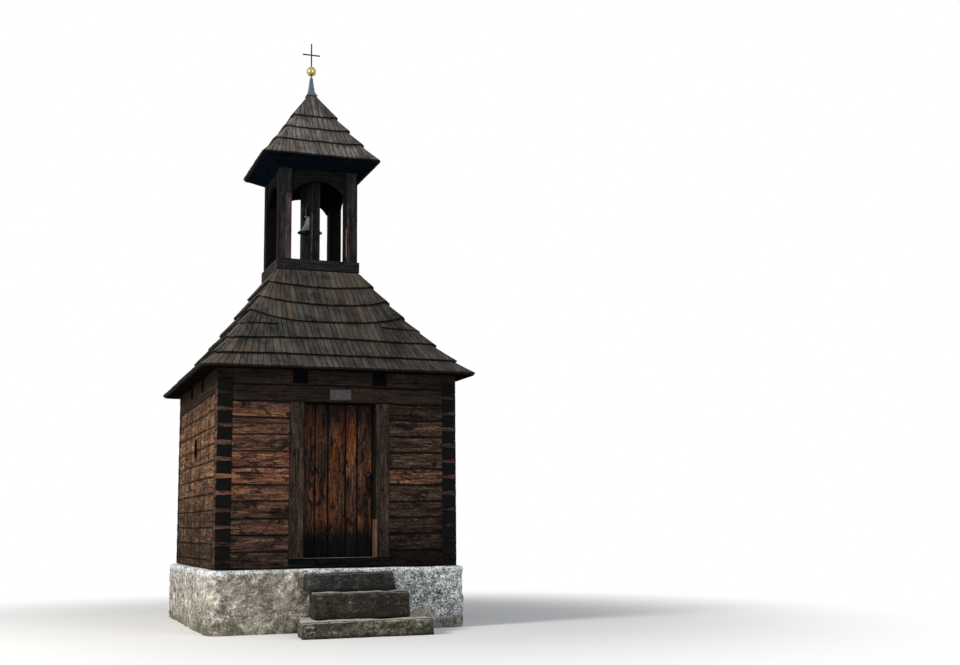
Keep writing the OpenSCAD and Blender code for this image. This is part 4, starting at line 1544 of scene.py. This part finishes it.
@dataclass(frozen=True)
class Step:
    """Rough step stone with a worn tread, running back to the plinth."""

    node: str
    x0: float
    x1: float
    front: float
    foot: float
    top: float
    seed: int
    finish: StoneFinish
    edge: float = 0.034
    taper: float = 0.0
    mortar: float = 0.0
    skew: float = 0.22
    back: float = -1.9153
    course: float = 0.022
    lump: float = 0.03
    corner: float = 0.16
    dip: float = 0.024

    def _sizes(self) -> tuple[float, float, tuple[float, float]]:
        """Half the width, half the depth and the middle."""
        middle = ((self.x0 + self.x1) / 2, (self.back + self.front) / 2)
        return (self.x1 - self.x0) / 2, (self.back - self.front) / 2, middle

    def _block(self) -> np.ndarray:
        """Shapes the plain block, up its sides and in over its top.

        Returns:
            Its rows of points.
        """
        half_x, half_y, middle = self._sizes()
        edge = self.edge
        count = max(6, round((self.top - self.foot) / self.course))
        outlines = [(half_x, half_y, edge, z) for z in np.linspace(self.foot, self.top - edge, count)]
        for share in (0.3, 0.55, 0.75, 0.9, 1.0):
            inset = edge * (1 - math.sqrt(1 - share ** 2))
            outlines.append((half_x - inset, half_y - inset, edge, self.top - edge * (1 - share)))
        for share in np.linspace(0.93, 0.04, 14):
            outlines.append(((half_x - edge) * share, (half_y - edge) * share, edge * share, self.top))
        return np.array([ring(*outline, 5, 44, middle) for outline in outlines])

    def _rough(self, points: np.ndarray, grit: Grit) -> np.ndarray:
        """Pushes the sides in by lumps and knocks the two front corners off.

        Args:
            points: rows of points of the plain block.
            grit: the stone's own noise.

        Returns:
            The rows moved.
        """
        half_x, half_y, middle = self._sizes()
        outward = (points - np.array([*middle, 0])) * np.array([1, 1, 0])
        outward /= np.maximum(np.linalg.norm(outward, axis=-1, keepdims=True), 1e-6)
        free = np.clip((self.back - 0.02 - points[..., 1]) / 0.05, 0, 1)
        side = points[..., 2] < self.top - 0.001
        waves, grains = 0.5 + 0.6 * grit.at(points, (3.0, 3.0, 5.0)), 0.35 * grit.at(points, 12.0)
        lump = np.clip(waves + grains + 0.2 * grit.at(points, 30.0), 0, 1.4)
        corner = np.clip(np.abs(points[..., 0] - middle[0]) / half_x - 0.75, 0, 1)
        corner = self.corner * (corner * np.clip((middle[1] - points[..., 1]) / half_y, 0, 1))
        push = np.where(side, self.lump * lump + corner, corner * 0.9) * free
        return points - outward * push[..., None]

    def _tread(self, points: np.ndarray, worn: np.ndarray) -> np.ndarray:
        """Marks the worn edge of the tread and the mortar behind it.

        Args:
            points: rows of points of the plain block.
            worn: 1 on the tread, 0 on the sides.

        Returns:
            Wear up to 1, and mortar over 1.
        """
        half_x, _, middle = self._sizes()
        inward = points[..., 1] - self.front
        from_side = np.minimum(half_x - np.abs(points[..., 0] - middle[0]), inward)
        arris = worn * np.clip(1.2 - np.clip(from_side, 0, None) / 0.07, 0.25, 1)
        bedded = np.clip((inward - 0.05) / 0.1, 0, 1) * (points[..., 2] > self.top - 0.004)
        return np.maximum(arris, bedded * (1 + self.mortar))

    def build(self) -> None:
        """Makes the step."""
        grit = Grit(self.seed)
        points = self._block()
        made = self._rough(points, grit)
        worn = np.clip((points[..., 2] - self.top + 1.2 * self.edge) / self.edge, 0, 1)
        dips = 0.5 + 0.5 * grit.at(points, 3.0) + 0.3 * grit.at(points, 9.0) + 0.2 * grit.at(points, 26.0)
        made[..., 2] -= worn * self.dip * np.clip(dips, 0, 1.2)
        made[..., 2] = np.clip(made[..., 2], self.foot, self.top)
        leftness = np.clip((self.x1 - made[..., 0]) / (self.x1 - self.x0), 0, 1)
        made[..., 0] += self.skew * (made[..., 1] - self.front) * leftness
        up = (made[..., 2] - self.foot) / (self.top - self.foot)
        made[..., 0] -= self.taper * up * np.clip(1 - leftness * 4, 0, 1)
        # painted shadow along the foot of the step
        soil_and_shade = np.clip((self.foot + 0.045 - points[..., 2]) / 0.03, 0, 1) * 0.95
        shape = Shape(f"{self.node}_stone")
        shape.loft(made, soil_and_shade=soil_and_shade, tread=self._tread(points, worn))
        shape.make("tower", [self.finish.material()], [self.node], 55.0)


@dataclass(frozen=True)
class Doorway:
    """Door frame, threshold and the boarded leaf with its ledges."""

    opening: float = 0.445
    frame: float = 0.63
    sill: float = 0.865
    head: float = 2.7497
    leaf: float = 0.437
    leaf_low: float = 0.873
    leaf_high: float = 2.742
    face: float = -1.667
    seat: float = 0.0003
    board_t: float = 0.03
    board_gap: float = 0.004
    ledge_t: float = 0.022
    ledge_half: float = 0.055
    ledge_end: float = 0.04
    joints: tuple[float, ...] = (-0.2848, -0.1219, 0.0997, 0.2465)
    tones: tuple[float, ...] = (0.4, 0.44, 0.5, 0.58, 0.5)
    ledges: tuple[float, ...] = (1.063, 1.8075, 2.552)

    def build(self) -> None:
        """Makes the frame and the leaf."""
        wood, end = FRAME_WOOD.material(), LOG_END.material()
        for name, sign, tone in (("left", -1, 0.48), ("right", 1, 0.24)):
            lay = Lay((sign * self.opening, -WALL_Y, 0), UP, BACK, (sign, 0, 0))
            post = Timber(lay, self.sill, self.head, LOG_T, level(0), level(self.frame - self.opening),
                          worn=0.007, hollow=0.003, seed=600 + sign)
            piece(f"frame_post_{name}", [(post, tone)], [wood, end], [f"door_post_{name}"])
        lay = Lay((0, -WALL_Y, 0), RIGHT, BACK, UP)
        beam = Timber(lay, -self.frame, self.frame, LOG_T, level(PLINTH_TOP), level(self.sill - self.seat),
                      worn=0.012, seed=610)
        piece("threshold_beam", [(beam, 0.5)], [THRESHOLD_WOOD.material(), end], ["threshold"])
        piece("leaf_boards", self._leaf(), [DOOR_WOOD.material(), end], ["door_leaf"], "door")

    def _leaf(self) -> list[tuple[Timber, float]]:
        """Shapes the boards and ledges of the leaf.

        Returns:
            Each with its shade.
        """
        made = []
        edges = (-self.leaf, *self.joints, self.leaf)
        lay = Lay((0, self.face, 0), UP, BACK, RIGHT)
        for i, tone in enumerate(self.tones):
            left = edges[i] + (self.board_gap if i else 0.0)
            right = edges[i + 1] - (self.board_gap if i < len(self.joints) else 0.0)
            board = Timber(lay, self.leaf_low, self.leaf_high, self.board_t, level(left), level(right),
                           worn=0.004, hollow=0.0025, checks=1, seed=620 + i)
            made.append((board, tone))
        lay = Lay((0, self.face + self.board_t + self.ledge_t, 0), RIGHT, (0, -1, 0), UP)
        half = self.leaf - self.ledge_end
        for i, z in enumerate(self.ledges):
            ledge = Timber(lay, -half, half, self.ledge_t, level(z - self.ledge_half),
                           level(z + self.ledge_half), worn=0.004, hollow=0.001, checks=1, seed=640 + i)
            made.append((ledge, 0.5))
        return made


@dataclass(frozen=True)
class Stage:
    """Corner posts of the open bell stage."""

    inner: float = 0.37
    outer: float = 0.54
    foot: float = 3.1503
    head: float = 6.0497
    posts: tuple[tuple[str, int, int, float], ...] = (
        ("front_left", -1, -1, 0.6), ("front_right", 1, -1, 0.5),
        ("back_left", -1, 1, 0.3), ("back_right", 1, 1, 0.3),
    )

    def build(self) -> None:
        """Makes the four posts."""
        wood, end = STAGE_WOOD.material(), LOG_END.material()
        thick = self.outer - self.inner
        for name, sx, sy, tone in self.posts:
            lay = Lay((sx * self.inner, sy * self.outer, 0), UP, (0, -sy, 0), (sx, 0, 0))
            post = Timber(lay, self.foot, self.head, thick, level(0), level(thick), worn=0.009, hollow=0.003,
                          seed=700 + 3 * sx + sy)
            piece(f"stage_post_{name}", [(post, tone)], [wood, end], [f"post_{name}"])


@dataclass(frozen=True)
class Strip:
    """Thin board nailed on a face that looks to the front."""

    name: str
    left: float
    right: float
    foot: float
    head: float
    face: float
    thick: float
    finish: WoodFinish
    tone: float = 0.5

    def build(self) -> None:
        """Makes the board, its back on the timber behind it."""
        width, height, y = self.right - self.left, self.head - self.foot, self.face - self.thick
        if height > width:
            lay, ends, across = Lay((self.left, y, 0), UP, BACK, RIGHT), (self.foot, self.head), width
        else:
            lay, ends, across = Lay((0, y, self.foot), RIGHT, BACK, UP), (self.left, self.right), height
        board = Timber(lay, *ends, self.thick, level(0), level(across), worn=0.003, hollow=0.001, checks=0,
                       dirt_and_shade=0.3, seed=len(self.name) * 13)
        piece(self.name, [(board, self.tone)], [self.finish.material()] * 2)


@dataclass(frozen=True)
class Bell:
    """Cast bell with a wide flared lip, moulding wires and a crown bar."""

    lip_z: float = 5.3
    height: float = 0.24
    diameter: float = 0.35
    wall: float = 0.02
    top_share: float = 0.24
    flare: float = 0.4
    waist: float = 0.86
    neck: float = 0.6
    wires: tuple[float, ...] = (0.09, 0.13, 0.34, 0.72, 0.77)
    wire_out: float = 0.0022
    wire_half: float = 0.01
    heart: float = 0.004
    bar_half: float = 0.072
    bar_half_w: float = 0.025
    bar_h: float = 0.016
    bar_rim: Outline = ((0.002, -0.006), (0, -0.004), (0, 0.011), (0.0015, 0.0145), (0.005, 0.0158))
    finish: MetalFinish = BELL_METAL

    def flank(self, t: float) -> float:
        """Radius of the plain flank at height share t over the lip."""
        return self.diameter / 2 * (self.top_share + (1 - self.top_share) * math.exp(-t / self.flare))

    def outer(self, t: float) -> float:
        """Outer radius at height share t, with the moulding wires."""
        swell = sum(math.exp(-((t - at) / self.wire_half) ** 2) for at in self.wires)
        return self.flank(t) + self.wire_out * swell

    def build(self) -> None:
        """Makes the bell."""
        body = self.height - self.bar_h
        shoulder = self.outer(self.waist)
        neck = shoulder * self.neck
        profile = [(self.outer(t), body * t) for t in np.linspace(0.004, self.waist, 90)]
        for a in np.radians(np.arange(15, 91, 15)):
            up = self.waist + (1 - self.waist) * math.sin(a)
            profile.append((neck + (shoulder - neck) * math.cos(a), body * up))
        profile.append((self.heart, body))
        inner = [(self.flank(0) - 0.003, 0.0), (self.flank(0) - 0.012, 0.001)]
        for t in np.linspace(0.03, self.waist, 24):
            inner.append((self.flank(t) - self.wall * (1 - 0.38 * min(4 * t, 1)), body * t))
        inner += [(shoulder * 0.5, body * 0.93), (self.heart, body * 0.93)]
        shape = Shape("bell_casting")
        # painted shade: the bell's inside, up from its mouth, is darkened
        soil_and_shade = np.array([0.0] * (len(profile) + 1) + [1.0] * (len(inner) - 1))[:, None]
        shape.loft(lathe(profile[::-1] + inner, (0, 0, self.lip_z), 64), soil_and_shade=soil_and_shade)
        top = self.lip_z + body
        bar = [ring(self.bar_half - inset, self.bar_half_w - inset, 0.007 - inset / 2, top + z, 4, 6)
               for inset, z in self.bar_rim]
        shape.loft(np.array(bar))
        shape.make("bell", [self.finish.material()], ["bell"])


@dataclass(frozen=True)
class Finial:
    """Sheet cap with folded hips, and the gilded ball with its seam."""

    cap_half: float = 0.077
    cap_foot: float = 7.2763
    cap_height: float = 0.278
    cap_fold: float = 0.012
    ball_z: float = 7.647
    ball_r: float = 0.07
    seam: float = 0.02
    spindle: float = 0.01
    cap: Outline = (
        (1.0, 0.0), (0.975, 0.02), (0.82, 0.09), (0.68, 0.15), (0.58, 0.22), (0.53, 0.31), (0.46, 0.45),
        (0.39, 0.6), (0.32, 0.78), (0.235, 0.98),
    )

    def build(self) -> None:
        """Makes the cap and the ball."""
        self._cap()
        self._ball()

    def _cap(self) -> None:
        """Makes the cap, with the collar round the spindle."""
        shape = Shape("sheet_cap")
        rows = []
        for share, up in self.cap:
            half = self.cap_half * share
            row = ring(half, half, 0.006, self.cap_foot + self.cap_height * up, 4, 8)
            corner = (np.abs(np.abs(row[:, 0]) - np.abs(row[:, 1])) < 0.004)[:, None]
            rows.append(row + corner * row * np.array([self.cap_fold, self.cap_fold, 0]))
        shape.loft(np.array(rows))
        top = self.cap_height
        tube = [(0.016, top * 0.975), (0.013, top), (self.spindle, top + 0.004), (self.spindle, top + 0.05)]
        shape.loft(lathe(tube, (0, 0, self.cap_foot), 24))
        shape.make("tower", [ZINC_SHEET.material()], ["finial_cap"])

    def _ball(self) -> None:
        """Makes the ball."""
        profile = []
        for a in np.radians(np.linspace(-81, 81, 44)):
            swell = 1 + self.seam * math.exp(-(a / 0.035) ** 2)
            profile.append((self.ball_r * math.cos(a) * swell, self.ball_r * math.sin(a)))
        shape = Shape("gilded_ball")
        shape.loft(lathe(profile, (0, 0, self.ball_z), 56))
        shape.make("tower", [GILDING.material()], ["finial_ball"])


@dataclass(frozen=True)
class Plaque:
    """Bare metal plate over the door, with a raised rim and four screws."""

    half_x: float = 0.135
    half_z: float = 0.065
    back_y: float = -1.8003
    thick: float = 0.008
    middle_z: float = 2.85
    screw_in: float = 0.02
    rim: Outline = ((0, -0.008), (0, -0.001), (0.001, 0), (0.008, 0), (0.01, -0.003), (0.012, -0.0035))
    screw: Outline = ((0.0045, 0.0), (0.0042, 0.001), (0.003, 0.0018), (0.001, 0.0021))

    def build(self) -> None:
        """Makes the plate."""
        shape = Shape("bare_plaque")
        rows = []
        for inset, out in self.rim:
            flat = ring(self.half_x - inset, self.half_z - inset, max(0.006 - inset / 3, 0.002), 0, 3, 8)
            y = np.full(len(flat), self.back_y - (self.thick + out))
            rows.append(np.column_stack([flat[:, 0], y, flat[:, 1] + self.middle_z]))
        shape.loft(np.array(rows))
        x, z = self.half_x - self.screw_in, self.half_z - self.screw_in
        seat = self.back_y - self.thick - self.rim[-1][1]
        for sx, sz in ((-1, -1), (-1, 1), (1, -1), (1, 1)):
            dome = lathe(self.screw, (0, 0, 0), 12)
            turned = (dome[..., 0] + sx * x, seat - dome[..., 2], dome[..., 1] + (self.middle_z + sz * z))
            shape.loft(np.stack(turned, axis=-1))
        shape.make("tower", [PLATE.material()], ["plaque"])


@dataclass(frozen=True)
class Dressing:
    """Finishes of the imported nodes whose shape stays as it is."""

    woods: tuple[tuple[WoodFinish, Grain, tuple[str, ...]], ...] = (
        (FLOOR_WOOD, Grain.Y, ("floor_boards",)),
        (BEAM_END, Grain.Y, ("tie_beams",)),
        (BEAM_END, Grain.X, ("cross_beams",)),
        (SHADED_SOFFIT_WOOD, Grain.X, ("main_soffit",)),
        (STAGE_WOOD, Grain.X, ("stage_sill",)),
        (SHADED_DARK_WOOD, Grain.X, ("stage_deck", "upper_soffit")),
        (ARCH_WOOD, Grain.X, ("arch_front", "arch_back", "head_frame")),
        (ARCH_WOOD, Grain.Y, ("arch_left", "arch_right")),
        (STAGE_WOOD, Grain.Z, ("bell_posts",)),
        (SHADED_DARK_WOOD, Grain.Y, ("headstock",)),
    )
    irons: tuple[str, ...] = ("bell_irons", "cross", "door_straps", "door_pintles")
    knobs: tuple[str, ...] = ("door_handle",)

    def dress(self) -> None:
        """Gives each of these nodes its finish."""
        for finish, direction, names in self.woods:
            self._put(finish.material(direction), names)
        self._put(BLACK_IRON.material(), self.irons)
        self._put(KNOB_IRON.material(), self.knobs)

    @staticmethod
    def _put(material: Material, names: Sequence[str]) -> None:
        """Puts one material on some nodes.

        Args:
            material: their finish.
            names: the nodes.
        """
        for name in names:
            node = frame["nodes"][name]
            node.data.materials.clear()
            node.data.materials.append(material)
            log.info("%s: dressed with %s", node.name, material.name)


@dataclass(frozen=True)
class Lamp:
    """Square soft lamp that looks at the tower's middle."""

    name: str
    place: Triple
    size: float
    power: float
    tint: Triple
    aim: Triple = (0.0, 0.0, 3.0)

    def build(self) -> None:
        """Makes the lamp."""
        data = bpy.data.lights.new(self.name, "AREA")
        data.shape = "SQUARE"
        data.size = self.size
        data.energy = self.power
        data.color = self.tint
        made = bpy.data.objects.new(self.name, data)
        made.location = self.place
        made.rotation_euler = (Vector(self.aim) - Vector(self.place)).to_track_quat("-Z", "Y").to_euler()
        bpy.context.scene.collection.objects.link(made)


@dataclass(frozen=True)
class Studio:
    """Pale floor, soft lights, white surroundings and the camera at the photograph's angle."""

    eye: Triple = (-3.728, -16.654, 1.231)
    pitch: float = 7.965
    roll: float = -0.573
    yaw: float = -20.552
    lens: float = 46.5405
    shift: float = 20 / 960  # twenty pixels up, as a share of the photograph's width
    floor_rings: Triple = (3.0, 8.0, 30.0)
    floor_tone: float = 0.8
    floor_fade: tuple[float, float] = (3.4, 8.5)
    lamps: tuple[Lamp, ...] = (
        Lamp("key", (-12.0, -4.5, 9.0), 4.0, 1800, (1.0, 0.96, 0.9)),
        Lamp("fill", (5.0, -15.0, 7.0), 6.0, 450, (0.95, 0.97, 1.0)),
    )

    def camera(self) -> None:
        """Makes the camera."""
        pitch, roll, yaw = (math.radians(v) for v in (self.pitch, self.roll, self.yaw))
        ahead = Vector((-math.sin(yaw) * math.cos(pitch), math.cos(yaw) * math.cos(pitch), math.sin(pitch)))
        right = Vector((math.cos(yaw), math.sin(yaw), 0))
        up = right.cross(ahead)
        right, up = right * math.cos(roll) + up * math.sin(roll), up * math.cos(roll) - right * math.sin(roll)
        data = bpy.data.cameras.new("camera")
        data.lens = self.lens
        data.shift_y = self.shift
        data.clip_end = 200
        made = bpy.data.objects.new("camera", data)
        turn = Matrix((right, up, -ahead)).transposed()
        made.matrix_world = Matrix.Translation(self.eye) @ turn.to_4x4()
        bpy.context.scene.collection.objects.link(made)
        bpy.context.scene.camera = made

    def floor(self) -> None:
        """Makes the floor, which fades to white away from the object."""
        circles = lathe([(radius, 0.0) for radius in self.floor_rings], (0, 0, 0))
        sides = circles.shape[1]
        faces = []
        for j in range(sides):
            k = (j + 1) % sides
            faces.append((0, 1 + j, 1 + k))
            for base in (1, 1 + sides):
                faces.append((base + j, base + sides + j, base + sides + k, base + k))
        mesh = bpy.data.meshes.new("floor")
        mesh.from_pydata([(0, 0, 0), *circles.reshape(-1, 3).tolist()], [], faces)
        made = bpy.data.objects.new("floor", mesh)
        bpy.context.scene.collection.objects.link(made)
        mesh.materials.append(self._pale())

    def _pale(self) -> Material:
        """Builds the floor's finish: matt near the object, white where seen far from it.

        Returns:
            The material.
        """
        t = Tree("pale_floor")
        length = t.node("ShaderNodeVectorMath", {"operation": "LENGTH"}, {0: t.place()})
        tone = self.floor_tone
        colour = t.mix(t.noise(t.place(), 40.0, 3), (tone, tone, tone * 0.985), (tone * 1.04,) * 3)
        matt = t.node("ShaderNodeBsdfDiffuse", None, {"Color": colour})
        white = t.node("ShaderNodeEmission", None, {"Color": "ffffff", "Strength": 1.0})
        share = Value(t, length.outputs["Value"]).between(*self.floor_fade) * t.seen()
        blend = t.node("ShaderNodeMixShader", None, {0: share, 1: matt.outputs[0], 2: white.outputs[0]})
        t.node("ShaderNodeOutputMaterial", None, {"Surface": blend.outputs[0]})
        return t.owner

    def world(self) -> None:
        """Makes the even surroundings: white where seen, softer as light."""
        world = bpy.data.worlds.new("studio")
        bpy.context.scene.world = world
        t = Tree(owner=world)
        soft = t.node("ShaderNodeBackground", None, {"Color": (0.93, 0.96, 1.0), "Strength": 0.5})
        white = t.node("ShaderNodeBackground", None, {"Color": "ffffff", "Strength": 1.0})
        both = t.node("ShaderNodeMixShader", None, {0: t.seen(), 1: soft.outputs[0], 2: white.outputs[0]})
        t.node("ShaderNodeOutputWorld", None, {"Surface": both.outputs[0]})

    def build(self) -> None:
        """Sets up camera, floor, world and lamps."""
        bpy.context.scene.view_settings.view_transform = "Standard"
        self.camera()
        self.floor()
        self.world()
        for lamp in self.lamps:
            lamp.build()


MAIN_ROOF = ShingleRoof(
    "main_shingles", "main_roof",
    Slope(head=0.5853, eave_x=1.735, eave_y=2.035, radius_head=0.05, radius_eave=0.17, foot=3.155, rise=1.505,
          hollow=0.26),
    (Course(0.154, 0.118), Course(0.306, 0.25), Course(0.482, 0.385), Course(0.512, 0.53, 0.58),
     Course(0.65, 0.675), Course(0.838, 0.848), Course(1.0, 1.0)),
    board=0.078, finish=MAIN_SHINGLE, lip_low=3.137, base=3.1753, seed=41,
)
UPPER_ROOF = ShingleRoof(
    "upper_shingles", "upper_roof",
    Slope(head=0.082, eave_x=0.81, eave_y=0.81, radius_head=0.022, radius_eave=0.09, foot=6.19, rise=1.086,
          hollow=0.14),
    (Course(0.335, 0.32), Course(0.535, 0.52), Course(0.75, 0.74), Course(1.0, 1.0)),
    board=0.074, finish=UPPER_SHINGLE, lip_low=6.172, base=6.1903, seed=47, thick=0.024,
)
STRIPS = (
    Strip("jamb_patch", 0.436, 0.472, 0.868, 1.33, -1.706, 0.1, STRIP_WOOD, 0.35),
    Strip("threshold_strip", -0.443, 0.434, 0.8652, 0.8712, -1.7, 0.09, GREY_STRIP, 0.4),
    Strip("post_casing_left", -0.462, -0.3725, 4.802, 5.7, -0.5395, 0.012, CASING_WOOD, 0.65),
    Strip("post_casing_right", 0.385, 0.43, 4.802, 5.62, -0.5395, 0.008, CASING_WOOD, 0.5),
    Strip("post_patch_right", 0.3725, 0.392, 4.86, 5.27, -0.5475, 0.006, STRIP_WOOD, 0.45),
    # a pale grey strip down the left edge of the front bell post, drawn as a thin board
    Strip("bell_post_strip", -0.0585, -0.046, 4.662, 5.5, -0.3588, 0.006, GREY_STRIP, 0.3),
)
STEPS = (
    Step("step_bottom", -0.73, 0.915, -2.815, 0.0, 0.195, 51, LOW_STONE, mortar=0.5),
    Step("step_middle", -0.53, 0.725, -2.515, 0.1953, 0.495, 52, MIDDLE_STONE, mortar=0.9),
    Step("step_top", -0.535, 0.64, -2.215, 0.4956, 0.7076, 53, TOP_STONE, taper=0.04),
)


def main() -> None:
    """Builds the studio and every sub-assembly in order."""
    logging.basicConfig(level=logging.INFO, format="%(message)s")
    Studio().build()
    Plinth().build()
    for step in STEPS:
        step.build()
    Walls().build()
    Doorway().build()
    MAIN_ROOF.build()
    Stage().build()
    for strip in STRIPS:
        strip.build()
    Bell().build()
    UPPER_ROOF.build()
    Finial().build()
    Plaque().build()
    Dressing().dress()


if __name__ == "__main__":
    main()
